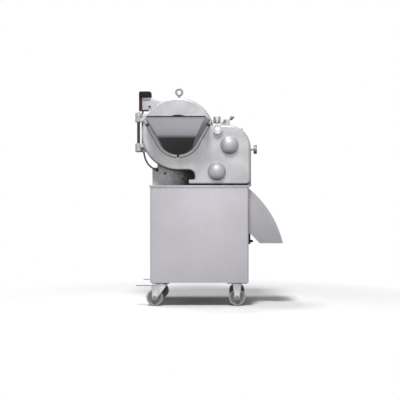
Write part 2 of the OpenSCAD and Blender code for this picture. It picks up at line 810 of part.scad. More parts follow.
module motor_fan_cover() color(rough) placed() difference() {
    bar_y(motor_at, motor_r, motor_y0 - 48, motor_y0);
    bar_y(motor_at, motor_r - sheet, motor_y0 - 48 + sheet, motor_y0 + 1);
    for (k = [0:11]) translate([motor_at[0], 0, motor_at[1]]) rotate([0, k * 30, 0])
        box([30, motor_y0 - 50, -4], [motor_r - 16, motor_y0 - 40, 4]);
}

module motor_mount() color(steel) placed() through_y(motor_y0 + 20, motor_y1 - 20) difference() {
    translate([motor_at[0] - 110, base_top]) square([220, motor_foot - base_top]);
    translate([motor_at[0] - 104, base_top - 1]) square([208, motor_foot - base_top - 7]);
}

module motor_shaft() color(bright) placed() bar_y(motor_at, motor_shaft_r, motor_y0 + 2, pulley_back + 4);

// Side view of the funnel floor, which slopes to the discharge opening
module inner_funnel() color(steel) placed() {
    left = drum_x + section_left + wall - sheet;
    right = half_w - sheet - turn_gap;
    low = chute_low + back_slope + sheet;
    difference() {
        through_y(housing_y + wall - sheet, chamber_back + sheet)
            polygon([[left, deck_z], [left, deck_z - 20], [right, low - sheet], [right, deck_z]]);
        through_y(housing_y + wall, chamber_back)
            polygon([[left + sheet, deck_z + 1], [left + sheet, deck_z - 20 + sheet], [right + 1, low + sheet],
                [right + 1, deck_z + 1]]);
    }
}

// Middle of the arc of the chute's outer wall
chute_a = [half_w, chute_top];
chute_b = [chute_x, chute_low];
chute_mid = (chute_a + chute_b) / 2;
chute_chord = norm(chute_b - chute_a);
chute_in = [chute_b[1] - chute_a[1], chute_a[0] - chute_b[0]] / chute_chord;
chute_at = chute_mid + sqrt(chute_r * chute_r - chute_chord * chute_chord / 4) * chute_in;

// Side outline of the chute, set in by a wall, running to the left past the cabinet by a distance
module chute2d(inset, past) {
    intersection() {
        translate(chute_at) circle(chute_r - inset, $fn = 180);
        polygon([[half_w - past, chute_top - inset], [chute_x, chute_top - inset], [chute_x, chute_low - past],
            [half_w + mouth_in + inset * 1.4, chute_low - past], [half_w + mouth_in + inset * 1.4, chute_low],
            [half_w + 14, chute_low + back_slope + inset * 1.4], [half_w - past, chute_low + back_slope + inset * 1.4]]);
    }
}

module discharge_chute() color(steel) placed() difference() {
    through_y(chute_front, chute_back) chute2d(0, 0);
    through_y(chute_front + sheet, chute_back - sheet) chute2d(sheet, 1);
}

// Hinge plate between two heights, reaching from the rod to the drum
module hinge_plate(y0, y1, z0, z1, bore) {
    difference() {
        union() {
            translate([hinge_x, hinge_y, z0]) cylinder(r = knuckle_r, h = z1 - z0);
            children();
        }
        bar_y(impeller_at, drum_r, y0 - 1, y1 + 1);
        translate([hinge_x, hinge_y, z0 - 1]) cylinder(r = bore, h = z1 - z0 + 2);
    }
}

hinge_top = drum_z + hinge_up;
hinge_low = drum_z - hinge_down;

module hinge_brackets() color(cast) placed() {
    y0 = housing_y + 8;
    y1 = housing_y + 32;
    for (z = [[hinge_top, hinge_top + knuckle_h + 6], [hinge_low - knuckle_h, hinge_low]]) {
        hinge_plate(y0, y1, z[0], z[1], hinge_rod_r + slip) {
            box([hinge_x - knuckle_r, hinge_y, z[0]], [hinge_x + knuckle_r, y1, z[1]]);
            box([hinge_x - knuckle_r, y0, z[0]], [drum_x - 0.7 * drum_r, y1, z[1]]);
        }
    }
}

module door_hinge_arms() color(cast) placed() {
    y0 = hinge_y - knuckle_r + 5;
    y1 = hinge_y + knuckle_r - 5;
    for (z = [hinge_top - turn_gap - knuckle_h, hinge_low + turn_gap]) {
        hinge_plate(y0, y1, z, z + knuckle_h, hinge_rod_r + fit) {
            box([hinge_x, y0, z], [drum_x - 0.8 * drum_r, y1, z + knuckle_h]);
        }
    }
}

module hinge_rod() color(bright) placed() {
    translate([hinge_x, hinge_y, hinge_low - knuckle_h - 4])
        cylinder(r = hinge_rod_r, h = hinge_top - hinge_low + 2 * knuckle_h + 14);
}

module switch_body() color("#3a2426") placed() {
    box([switch_x, switch_y, switch_z], [switch_x + switch_w, switch_y + switch_d, switch_top]);
}

module switch_cap() color(black) placed() through_y(switch_y - switch_plate_t, switch_y + switch_d) {
    r = 12;
    translate([switch_x, switch_top]) square([switch_cap_w, switch_cap_h - r]);
    translate([switch_x + r, switch_top]) square([switch_cap_w - 2 * r, switch_cap_h]);
    for (x = [r, switch_cap_w - r]) translate([switch_x + x, switch_top + switch_cap_h - r]) circle(r);
}

// Plate from the drum to the front of the switch
module switch_bracket() color(steel) placed() through_y(switch_y - switch_plate_t, switch_y) difference() {
    polygon([[switch_x + 21, switch_z + 4], [switch_x + 21, switch_top], [switch_x + switch_cap_w + 6, switch_top],
        [drum_x - drum_r / 2, switch_top - 22], [drum_x - drum_r / 2, switch_z + 4]]);
    translate(impeller_at) circle(drum_r);
}

// Smooth curve through the points of a route
function curve_point(p, i, t) = let (
    a = p[max(i - 1, 0)], b = p[i], c = p[i + 1], d = p[min(i + 2, len(p) - 1)]
) 0.5 * (2 * b + (c - a) * t + (2 * a - 5 * b + 4 * c - d) * t * t + (3 * b - a - 3 * c + d) * t * t * t);
function curve(p, steps) = concat(
    [for (i = [0:len(p) - 2]) for (k = [0:steps - 1]) curve_point(p, i, k / steps)], [p[len(p) - 1]]);
function unit(v) = v / norm(v);

// Tube along a route, one ring of points at each step
module tube(route, r, sides) {
    line = curve(route, 2);
    last = len(line) - 1;
    rings = [for (i = [0:last]) let (
        ahead = i == 0 ? [0, 0, -1] : i == last ? [0, 1, 0] : unit(line[i + 1] - line[i - 1]),
        side = unit(cross(ahead, [0.6, 0.5, 0.2])),
        up = cross(ahead, side)
    ) [for (k = [0:sides - 1]) line[i] + r * (cos(k * 360 / sides) * side + sin(k * 360 / sides) * up)]];
    points = [for (ring = rings) each ring];
    faces = concat(
        [[for (k = [0:sides - 1]) k]],
        [for (i = [0:last - 1]) for (k = [0:sides - 1]) let (n = (k + 1) % sides, o = i * sides)
            each [[o + k, o + sides + k, o + n], [o + n, o + sides + k, o + sides + n]]],
        [[for (k = [sides - 1:-1:0]) last * sides + k]]
    );
    polyhedron(points, faces);
}

module switch_cable() color(black) placed() tube(cable_route, cable_r, 10);

module cable_gland() color(black) placed() {
    hex_y(gland_at, 20, pedestal_y - 8, pedestal_y);
    bar_y(gland_at, 9, pedestal_y - 8 - gland_l, pedestal_y - 8);
}

module lifting_eye() color(steel) placed() translate([drum_x, housing_y + eye_setback, drum_z]) {
    rise = drum_r + eye_r + eye_shank;
    difference() {
        union() {
            translate([0, 0, drum_r - 8]) cylinder(r = 15, h = 14);
            translate([0, 0, drum_r - 8]) cylinder(r = 8, h = 8 + eye_shank + eye_bar);
        }
        translate([0, 30, 0]) rotate([90, 0, 0]) cylinder(r = drum_r, h = 60);
    }
    translate([0, 0, rise]) rotate([90, 0, 0]) rotate_extrude() translate([eye_r - eye_bar, 0]) {
        corner = eye_bar - eye_land / 2;
        square([2 * (eye_bar - corner), 2 * eye_bar], center = true);
        square([2 * eye_bar, 2 * (eye_bar - corner)], center = true);
        for (x = [-1, 1]) for (y = [-1, 1]) translate((eye_bar - corner) * [x, y]) circle(corner, $fn = 32);
    }
}

plate_z = caster_h - caster_plate_t;
swivel_head_t = 12;
king_r = 8;

module caster_plates() color(grey) placed() {
    for (y = [front_caster_y, rear_caster_y]) {
        difference() {
            box([swivel_x - 52, y - 45, plate_z], [swivel_x + 52, y + 45, caster_h]);
            translate([swivel_x, y, plate_z - 1]) cylinder(r = king_r + fit, h = caster_plate_t + 2);
        }
        box([rigid_x - 60, y - 45, plate_z], [rigid_x + 60, y + 45, caster_h]);
    }
}

// Axle with a nut at each end
module axle(x, y) {
    half = fork_in + fork_t;
    bar_y([x, wheel_r], axle_r, y - half - 3, y + half + 3);
    for (s = [[y - half - 7, y - half], [y + half, y + half + 7]]) hex_y([x, wheel_r], 19, s[0], s[1]);
}

module rigid_forks() color(grey) placed() {
    for (y = [front_caster_y, rear_caster_y]) {
        for (s = [y - fork_in - fork_t, y + fork_in]) through_y(s, s + fork_t) {
            polygon([[rigid_x - 27, plate_z], [rigid_x - 16, wheel_r], [rigid_x + 16, wheel_r], [rigid_x + 27, plate_z]]);
            translate([rigid_x, wheel_r]) circle(16);
        }
        box([rigid_x - 27, y - fork_in - fork_t, plate_z - fork_t], [rigid_x + 27, y + fork_in + fork_t, plate_z]);
        axle(rigid_x, y);
    }
}

// Swivel fork with its king pin, wheel axle and pedal pin
module swivel_fork(y) {
    head_z = plate_z - turn_gap - swivel_head_t;
    x = swivel_wheel_x;
    for (s = [y - fork_in - fork_t, y + fork_in]) through_y(s, s + fork_t) {
        polygon([[swivel_x + 26, head_z], [swivel_x + 26, head_z - 8], [x + 16, wheel_r], [x - 16, wheel_r],
            [x - 20, head_z]]);
        translate([x, wheel_r]) circle(16);
    }
    box([swivel_x - 26, y - fork_in - fork_t, head_z - fork_t], [swivel_x + 26, y + fork_in + fork_t, head_z]);
    translate([swivel_x, y, head_z]) cylinder(r = 32, h = swivel_head_t);
    translate([swivel_x, y, head_z]) cylinder(r = king_r, h = caster_h - head_z - turn_gap);
    axle(x, y);
    bar_y([pedal_x, pedal_z], pedal_pin_r, y - fork_in - fork_t, y + fork_in + fork_t);
}

module front_swivel_fork() color(grey) placed() swivel_fork(front_caster_y);
module rear_swivel_fork() color(grey) placed() swivel_fork(rear_caster_y);

// Half of the wheel section: hub boss, recessed web and round tread
function wheel_half() = let (half = wheel_w / 2, tread = 6) concat(
    [[axle_r + fit, half + wheel_gap - 1], [axle_r + 9, half + wheel_gap - 1], [axle_r + 11, half - 5],
        [wheel_r - 15, half - 5], [wheel_r - 13, half - 1]],
    [for (a = [90:-15:0]) [wheel_r - tread, half - tread] + tread * [cos(a), sin(a)]]
);

module wheel(x, y) {
    side = wheel_half();
    other = [for (k = [len(side) - 1:-1:0]) [side[k][0], -side[k][1]]];
    translate([x, y, wheel_r]) rotate([90, 0, 0]) rotate_extrude() polygon(concat(side, other));
}

module front_left_wheel() color(grey) placed() wheel(swivel_wheel_x, front_caster_y);
module rear_left_wheel() color(grey) placed() wheel(swivel_wheel_x, rear_caster_y);
module front_right_wheel() color(grey) placed() wheel(rigid_x, front_caster_y);
module rear_right_wheel() color(grey) placed() wheel(rigid_x, rear_caster_y);

pedal_pin_r = 3;

// Brake pedal: a barrel on the pedal pin with a long tread plate
module brake_pedal(y) {
    half = fork_in - turn_gap;
    difference() {
        union() {
            bar_y([pedal_x, pedal_z], pedal_pin_r + 3, y - half, y + half);
            box([pedal_x - pedal_l, y - half, pedal_z + 3], [pedal_x, y + half, pedal_z + 6]);
        }
        bar_y([pedal_x, pedal_z], pedal_pin_r + fit, y - half - 1, y + half + 1);
    }
}

module front_brake_pedal() color(grey) placed() brake_pedal(front_caster_y);
module rear_brake_pedal() color(grey) placed() brake_pedal(rear_caster_y);

module front_door() color(cast) placed() difference() {
    door_form(0, door_d, door_edge);
    translate([0, 1, 0]) door_form(wall, door_d - wall + 1, door_edge - wall + 2);
    bar_y(impeller_at, inlet_r, door_y - 1, door_back);
    bar_y(lock_at, lock_stud_r + fit, door_y - 1, door_back);
    for (p = bolt_places) bar_y(p, bolt_r + slip, door_y - 1, door_y + wall + 1);
}

// Round cap over the end of a spindle, on a flat collar
module dome(at) {
    r = (dome_r * dome_r + dome_h * dome_h) / (2 * dome_h);
    bar_y(at, dome_r + dome_collar, door_y - sheet, door_y);
    intersection() {
        translate([at[0], door_y + r - dome_h, at[1]]) sphere(r);
        bar_y(at, dome_r + 1, door_y - dome_h - 1, door_y);
    }
}

module upper_dome() color(cast) placed() dome(circular_at);
module lower_dome() color(cast) placed() dome(crosscut_at);

lock_stud_r = 6;

module door_lock_knob() color(bright) placed() {
    bar_y(lock_at, lock_r, door_y - 26, door_y - 12);
    bar_y(lock_at, 2 * lock_stud_r, door_y - 12, door_y - turn_gap);
    bar_y(lock_at, lock_stud_r, door_y - turn_gap, door_back - 2);
}

// Hopper trough in front view: a round bottom with sides that lean out to the lip
hopper_lean = acos(hopper_r / norm([hopper_half_w, hopper_lip])) - atan2(hopper_lip, hopper_half_w);
module hopper2d(grow, top) {
    r = hopper_r + grow;
    foot = r * [cos(hopper_lean), -sin(hopper_lean)];
    x = foot[0] + (top - foot[1]) * tan(hopper_lean);
    translate(impeller_at) {
        intersection() {
            circle(r, $fn = 48);
            translate([-r, -r]) square([2 * r, r]);
        }
        polygon([foot, [x, top], [-x, top], [-foot[0], foot[1]]]);
    }
}

// Points of a round of radius r in the corner at b, from the side of a to the side of c
function round_points(a, b, c, r, steps) = let (
    u = unit(a - b), v = unit(c - b), half = acos(u * v) / 2,
    middle = b + unit(u + v) * r / sin(half),
    from = b + u * r / tan(half) - middle, to = b + v * r / tan(half) - middle,
    turn = 180 - 2 * half, way = from[0] * to[1] - from[1] * to[0] < 0 ? -1 : 1
) [for (k = [0:steps]) let (t = way * k * turn / steps)
    middle + [from[0] * cos(t) - from[1] * sin(t), from[0] * sin(t) + from[1] * cos(t)]];

// Hopper in side view: a floor that rises to a rolled bend and a front plate, which leans out to the lip
module hopper_side(grow, top) {
    slope = (hopper_reach - front_plate_y) / (hopper_lip - front_plate_z);
    floor_end = [-door_y + 16, drum_z - hopper_r - grow];
    bend = [-door_y + front_plate_y - sheet + grow, drum_z + front_plate_z - grow];
    front_top = [-door_y + hopper_reach - sheet + grow + slope * (top - hopper_lip), drum_z + top];
    translate([drum_x + 2 * hopper_half_w, 0, 0]) rotate([90, 0, -90]) linear_extrude(4 * hopper_half_w) polygon(concat(
        [[-door_y - 1, drum_z + top], [-door_y - 1, floor_end[1]], floor_end],
        round_points(floor_end, bend, front_top, bend_r + grow, 8),
        [front_top]
    ));
}

// Trough that narrows from the door to the lip
module trough(grow, top) {
    hull() {
        through_y(door_y, door_y + 1) hopper2d(grow, top);
        through_y(hopper_y - 1, hopper_y) hopper2d(grow - hopper_taper, top);
    }
}

module feed_hopper() color(steel) placed() difference() {
    intersection() {
        trough(sheet, hopper_lip);
        hopper_side(sheet, hopper_lip);
        translate([drum_x - 2 * hopper_half_w, hopper_y - 2, deck_top])
            cube([4 * hopper_half_w, hopper_reach + 2, 2 * drum_lift]);
    }
    intersection() {
        trough(0, hopper_lip + 1);
        hopper_side(0, hopper_lip + 1);
    }
}

bolt_r = 4;
bolt_head = 12;
bolt_mid = (flange_w + sheet) / 2;
bolt_drop = 34;
bolt_foot = (hopper_r + bolt_mid) * [cos(hopper_lean), -sin(hopper_lean)];
bolt_side = bolt_foot[0] + (hopper_lip - bolt_drop - bolt_foot[1]) * tan(hopper_lean);
bolt_places = [for (p = [[-bolt_side, hopper_lip - bolt_drop], [bolt_side, hopper_lip - bolt_drop], [0, -hopper_r - bolt_mid]])
    impeller_at + p];

module hopper_flange() color(steel) placed() through_y(door_y - flange_t, door_y) difference() {
    intersection() {
        hopper2d(flange_w, hopper_lip - 5);
        translate(impeller_at) circle(drum_r - 2);
    }
    hopper2d(sheet, hopper_lip);
    for (p = bolt_places) translate(p) circle(bolt_r + slip);
}

module hopper_bolts() color(bright) placed() for (p = bolt_places) {
    hex_y(p, bolt_head, door_y - flange_t - 7, door_y - flange_t);
    bar_y(p, bolt_r, door_y - flange_t - 1, door_y + wall);
}

module gate_adjuster() color(bright) placed() translate([drum_x + adjuster_x, adjuster_y, drum_z + section_top]) {
    translate([0, 0, -wall - 14]) cylinder(r = adjuster_stem, h = wall + 16 + adjuster_lift);
    translate([0, 0, adjuster_lift]) difference() {
        cylinder(r = adjuster_r, h = adjuster_h);
        for (k = [0:29]) rotate([0, 0, k * 12]) translate([adjuster_r, 0, 3]) rotate([0, 0, 45])
            translate([-1, -1, 0]) cube([2, 2, adjuster_h - 6]);
    }
}

// Axis of the lock screw, leaning out of the lug to the upper right
module lock_screw_axis() {
    translate([drum_x + lug_x - lug_w / 2, lug_y, lug_top - lug_h / 2]) rotate([0, 45, 0]) children();
}

module gate_lock_knob() color(bright) placed() lock_screw_axis() {
    cylinder(r = lock_screw_r, h = 40);
    translate([0, 0, 32]) cylinder(r = 10, h = 26);
}

module side_clamp_knob() color(bright) placed() {
    bar_x(adjuster_y, clamp_z, clamp_stem, section_right - wall + 1, section_right + 24);
    bar_x(adjuster_y, clamp_z, clamp_r, section_right + 22, section_right + 42);
}

base_frame();
cabinet_wrap();
rear_panel();
deck_plate();
pedestal();
housing();
gear_case();
gear_case_cover();
spindle_bearings();
slicing_case();
slicing_knife();
belt_guard();
drive_belts();
motor_body();
motor_fan_cover();
motor_mount();
inner_funnel();
discharge_chute();
hinge_brackets();
hinge_rod();
switch_bracket();
switch_body();
switch_cap();
switch_cable();
cable_gland();
lifting_eye();
caster_plates();
rigid_forks();
front_door();
upper_dome();
lower_dome();
feed_hopper();
hopper_flange();
hopper_bolts();
door_hinge_arms();
door_lock_knob();
impeller();
impeller_shaft();
impeller_gear();
drive_pulley();
circular_knives();
circular_shaft();
circular_gear();
crosscut_knives();
crosscut_rotor();
crosscut_gear();
motor_shaft();
motor_pulley();
slice_gate();
gate_adjuster();
gate_lock_knob();
side_clamp_knob();
front_swivel_fork();
rear_swivel_fork();
front_left_wheel();
rear_left_wheel();
front_right_wheel();
rear_right_wheel();
front_brake_pedal();
rear_brake_pedal();
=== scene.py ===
"""Looks of a three-way vegetable dicer: finishes, softened edges, small fittings and a plain studio."""

import json
import math

import bmesh
import bpy
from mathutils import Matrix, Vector


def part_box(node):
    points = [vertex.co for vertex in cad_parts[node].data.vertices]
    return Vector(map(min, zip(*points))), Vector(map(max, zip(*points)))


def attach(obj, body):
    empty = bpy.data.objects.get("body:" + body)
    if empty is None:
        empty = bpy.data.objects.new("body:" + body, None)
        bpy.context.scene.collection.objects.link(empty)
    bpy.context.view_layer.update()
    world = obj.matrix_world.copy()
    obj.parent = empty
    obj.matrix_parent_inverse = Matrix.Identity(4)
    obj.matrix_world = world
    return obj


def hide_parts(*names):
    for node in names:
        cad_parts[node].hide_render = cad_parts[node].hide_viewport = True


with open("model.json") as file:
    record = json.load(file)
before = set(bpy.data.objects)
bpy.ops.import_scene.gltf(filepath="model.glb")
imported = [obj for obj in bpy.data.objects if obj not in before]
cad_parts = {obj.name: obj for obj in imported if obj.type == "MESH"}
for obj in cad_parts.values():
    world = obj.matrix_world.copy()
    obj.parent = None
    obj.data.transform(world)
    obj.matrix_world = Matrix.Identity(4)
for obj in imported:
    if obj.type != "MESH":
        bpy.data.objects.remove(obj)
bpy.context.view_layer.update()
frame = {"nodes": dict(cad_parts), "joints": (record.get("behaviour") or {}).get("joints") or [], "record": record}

bl_info = {
    "name": "Vegetable Dicer Looks",
    "version": (1, 0, 0),
    "blender": (4, 5, 0),
    "location": "View3D > Sidebar > Dicer",
    "description": "Dresses the solids of a vegetable dicer with finishes and fittings",
    "category": "Object",
}

# Route of the switch cable, as in the part's source
CABLE_ROUTE = (
    (-0.4085, -0.0825, 1.186), (-0.4095, -0.0815, 1.166), (-0.4105, -0.0795, 1.138),
    (-0.4115, -0.0775, 1.106), (-0.4115, -0.0765, 1.072), (-0.4115, -0.0765, 1.038),
    (-0.4115, -0.0765, 1.004), (-0.4085, -0.0765, 0.968), (-0.4035, -0.0775, 0.936),
    (-0.3965, -0.0805, 0.905), (-0.3855, -0.0865, 0.878), (-0.3705, -0.0965, 0.857),
    (-0.3525, -0.1055, 0.841), (-0.3365, -0.1085, 0.831), (-0.3265, -0.1005, 0.827),
    (-0.3235, -0.0880, 0.827),
)
BODY_OF = {node: body for body, nodes in frame["record"]["behaviour"]["bodies"].items() for node in nodes}
SLOT_OF = {row["node"]: row["material_slot"] for row in frame["record"]["subparts"]}

# Solids whose finish differs from the rest of their slot
LOOK_OF = {
    # The caster plates take the blackened finish as painted shade, standing in for the shade under the cabinet
    "hinge_rod": "dark_steel", "caster_plates": "dark_steel",
    "lifting_eye": "dull_steel", "front_brake_pedal": "dull_steel", "rear_brake_pedal": "dull_steel",
    "drive_pulley": "dull_steel", "motor_pulley": "dull_steel",
    "discharge_chute": "chute_steel", "upper_dome": "dome_steel", "lower_dome": "dome_steel",
    "motor_body": "motor_paint", "motor_fan_cover": "motor_paint",
}
# Solids that get soft edges, each with the size of its rounding
SOFT_EDGES = {
    "deck_plate": "sheet_edge", "discharge_chute": "sheet_edge", "hopper_flange": "sheet_edge",
    "feed_hopper": "sheet_edge", "lifting_eye": "bright_edge", "hinge_brackets": "cast_edge",
    "door_hinge_arms": "cast_edge", "switch_cap": "cast_edge", "switch_bracket": "sheet_edge",
    "rigid_forks": "bright_edge", "front_swivel_fork": "bright_edge", "rear_swivel_fork": "bright_edge",
    "front_brake_pedal": "bright_edge", "rear_brake_pedal": "bright_edge", "caster_plates": "bright_edge",
}
# Fork that carries each caster wheel
FORK_OF = {
    "front_left_wheel": "front_swivel_fork", "rear_left_wheel": "rear_swivel_fork",
    "front_right_wheel": "rigid_forks", "rear_right_wheel": "rigid_forks",
}
# Directions on the machine, whose front looks along -Y
FRONT = Vector((0, -1, 0))
BACK = Vector((0, 1, 0))
RIGHT = Vector((1, 0, 0))
UP = Vector((0, 0, 1))
# A face looks along a direction when its normal has at least this share of it
LOOKING = 0.9
# A face runs along a direction when its normal has less than this share of it
BESIDE = 0.1


def low(node):
    """Lowest corner of a solid."""
    return Vector(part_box(node)[0])


def high(node):
    """Highest corner of a solid."""
    return Vector(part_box(node)[1])


def middle(node):
    """Middle of a solid's box."""
    return (low(node) + high(node)) / 2


def half(node):
    """Half the size of a solid's box."""
    return (high(node) - low(node)) / 2


def joint(name):
    """Entry of a joint in the frame."""
    return next(entry for entry in frame["joints"] if entry["name"] == name)


class DicerSizes(bpy.types.PropertyGroup):
    """Sizes of the fittings and of the studio."""

    sheet_edge: bpy.props.FloatProperty(
        name="Sheet edge", description="Rounding of bent sheet edges", default=0.0012, unit="LENGTH")
    cast_edge: bpy.props.FloatProperty(
        name="Cast edge", description="Rounding of cast edges", default=0.0025, unit="LENGTH")
    bright_edge: bpy.props.FloatProperty(
        name="Turned edge", description="Rounding of turned edges", default=0.0012, unit="LENGTH")
    cable_radius: bpy.props.FloatProperty(
        name="Cable radius", description="Radius of the switch cable", default=0.0052, unit="LENGTH")
    bead_width: bpy.props.FloatProperty(
        name="Bead width", description="Width of the painted-shade beads round the flange", default=0.0035, unit="LENGTH")
    bead_height: bpy.props.FloatProperty(
        name="Bead height", description="Height of the painted-shade beads round the flange", default=0.004, unit="LENGTH")
    screw_radius: bpy.props.FloatProperty(
        name="Screw radius", description="Radius of a screw head", default=0.007, unit="LENGTH")
    camera_distance: bpy.props.FloatProperty(
        name="Camera distance", description="From the lens to the front of the door",
        default=5.0, unit="LENGTH")
    view_width: bpy.props.FloatProperty(
        name="View width", description="Width of the picture at the front of the door",
        default=2.4, unit="LENGTH")
    ambient: bpy.props.FloatProperty(
        name="Ambient", description="Strength of the studio's all-round light", default=0.22)
    floor_size: bpy.props.FloatProperty(
        name="Floor size", description="Side of the floor", default=40.0, unit="LENGTH")


class DicerFinishes(bpy.types.PropertyGroup):
    """Colours of the finishes."""

    sheet: bpy.props.FloatVectorProperty(
        name="Sheet steel", description="Satin sheet",
        subtype="COLOR", size=3, default=(0.465, 0.453, 0.484))
    cast: bpy.props.FloatVectorProperty(
        name="Cast steel", description="Blasted casting",
        subtype="COLOR", size=3, default=(0.475, 0.468, 0.485))
    rough: bpy.props.FloatVectorProperty(
        name="Rough casting", description="Pedestal casting",
        subtype="COLOR", size=3, default=(0.86, 0.855, 0.86))
    bright: bpy.props.FloatVectorProperty(
        name="Bright steel", description="Turned steel",
        subtype="COLOR", size=3, default=(0.50, 0.50, 0.51))
    dark: bpy.props.FloatVectorProperty(
        name="Dark steel", description="Blackened bolts and rod",
        subtype="COLOR", size=3, default=(0.045, 0.043, 0.042))
    black: bpy.props.FloatVectorProperty(
        name="Black plastic", description="Switch cap",
        subtype="COLOR", size=3, default=(0.012, 0.012, 0.013))
    motor: bpy.props.FloatVectorProperty(
        name="Motor paint", description="Grey-blue paint",
        subtype="COLOR", size=3, default=(0.10, 0.13, 0.17))
    sheath: bpy.props.FloatVectorProperty(
        name="Cable sheath", description="Grey sheath",
        subtype="COLOR", size=3, default=(0.085, 0.083, 0.08))
    maroon: bpy.props.FloatVectorProperty(
        name="Switch casing", description="Dark switch side",
        subtype="COLOR", size=3, default=(0.05, 0.018, 0.022))
    tread: bpy.props.FloatVectorProperty(
        name="Wheel tread", description="Pale grey tread",
        subtype="COLOR", size=3, default=(0.42, 0.42, 0.415))
    core: bpy.props.FloatVectorProperty(
        name="Wheel core", description="Moulded web and hub",
        subtype="COLOR", size=3, default=(0.20, 0.20, 0.205))
    floor: bpy.props.FloatVectorProperty(
        name="Floor", description="Studio floor",
        subtype="COLOR", size=3, default=(1.0, 1.0, 1.0))


def sizes():
    return bpy.context.scene.dicer_sizes


def colours():
    return bpy.context.scene.dicer_finishes


# Shader helpers

def feed(tree, socket, value):
    """Sets a socket to a plain value, or links another node's output to it."""
    if isinstance(value, (int, float, tuple)):
        socket.default_value = value
    else:
        tree.links.new(value, socket)


def group_with(name, inputs, outputs):
    """A new shader group with named sockets, and its input and output nodes."""
    group = bpy.data.node_groups.new(name, "ShaderNodeTree")
    for label, kind, value in inputs:
        socket = group.interface.new_socket(name=label, in_out="INPUT", socket_type=kind)
        socket.default_value = value
    for label, kind in outputs:
        group.interface.new_socket(name=label, in_out="OUTPUT", socket_type=kind)
    return group, group.nodes.new("NodeGroupInput"), group.nodes.new("NodeGroupOutput")


def noise_node(tree, vector, scale, detail, roughness):
    """Noise texture on a vector."""
    node = tree.nodes.new("ShaderNodeTexNoise")
    for label, value in (("Vector", vector), ("Scale", scale), ("Detail", detail), ("Roughness", roughness)):
        feed(tree, node.inputs[label], value)
    return node.outputs["Fac"]


def math_node(tree, operation, a, b):
    """Arithmetic on two values or sockets."""
    node = tree.nodes.new("ShaderNodeMath")
    node.operation = operation
    for socket, value in zip(node.inputs, (a, b)):
        feed(tree, socket, value)
    return node.outputs[0]


def ranged(tree, value, from_low, from_high, to_low=0.0, to_high=1.0):
    """Clamped change of range."""
    node = tree.nodes.new("ShaderNodeMapRange")
    for label, entry in (("Value", value), ("From Min", from_low), ("From Max", from_high),
                         ("To Min", to_low), ("To Max", to_high)):
        feed(tree, node.inputs[label], entry)
    return node.outputs[0]


def mixed(tree, factor, a, b):
    """Mix of two colours."""
    node = tree.nodes.new("ShaderNodeMix")
    node.data_type = "RGBA"
    # The node has sockets for every data type; these are its factor and its two colours
    for socket, value in ((node.inputs[0], factor), (node.inputs[6], a), (node.inputs[7], b)):
        feed(tree, socket, value)
    return node.outputs[2]


def seen_rays(tree):
    """One for rays that the lens sees, straight on or by way of a reflection or through glass."""
    path = tree.nodes.new("ShaderNodeLightPath")
    straight = math_node(tree, "MAXIMUM", path.outputs["Is Camera Ray"], path.outputs["Is Glossy Ray"])
    return math_node(tree, "MAXIMUM", straight, path.outputs["Is Transmission Ray"])


# Noise levels between which clouds and grain come up, and those that set the roughness
CLOUD_LEVELS = (0.35, 0.7)
GRAIN_LEVELS = (0.3, 0.7)
ROUGH_LEVELS = (0.6, 1.4)
# How far the edge of the painted shadow wanders along X
SHADOW_WANDER = 0.08
# Colour of the painted shade on undersides and of the painted shadow along X
PAINTED_SHADE_COLOUR = (0.012, 0.011, 0.011, 1)


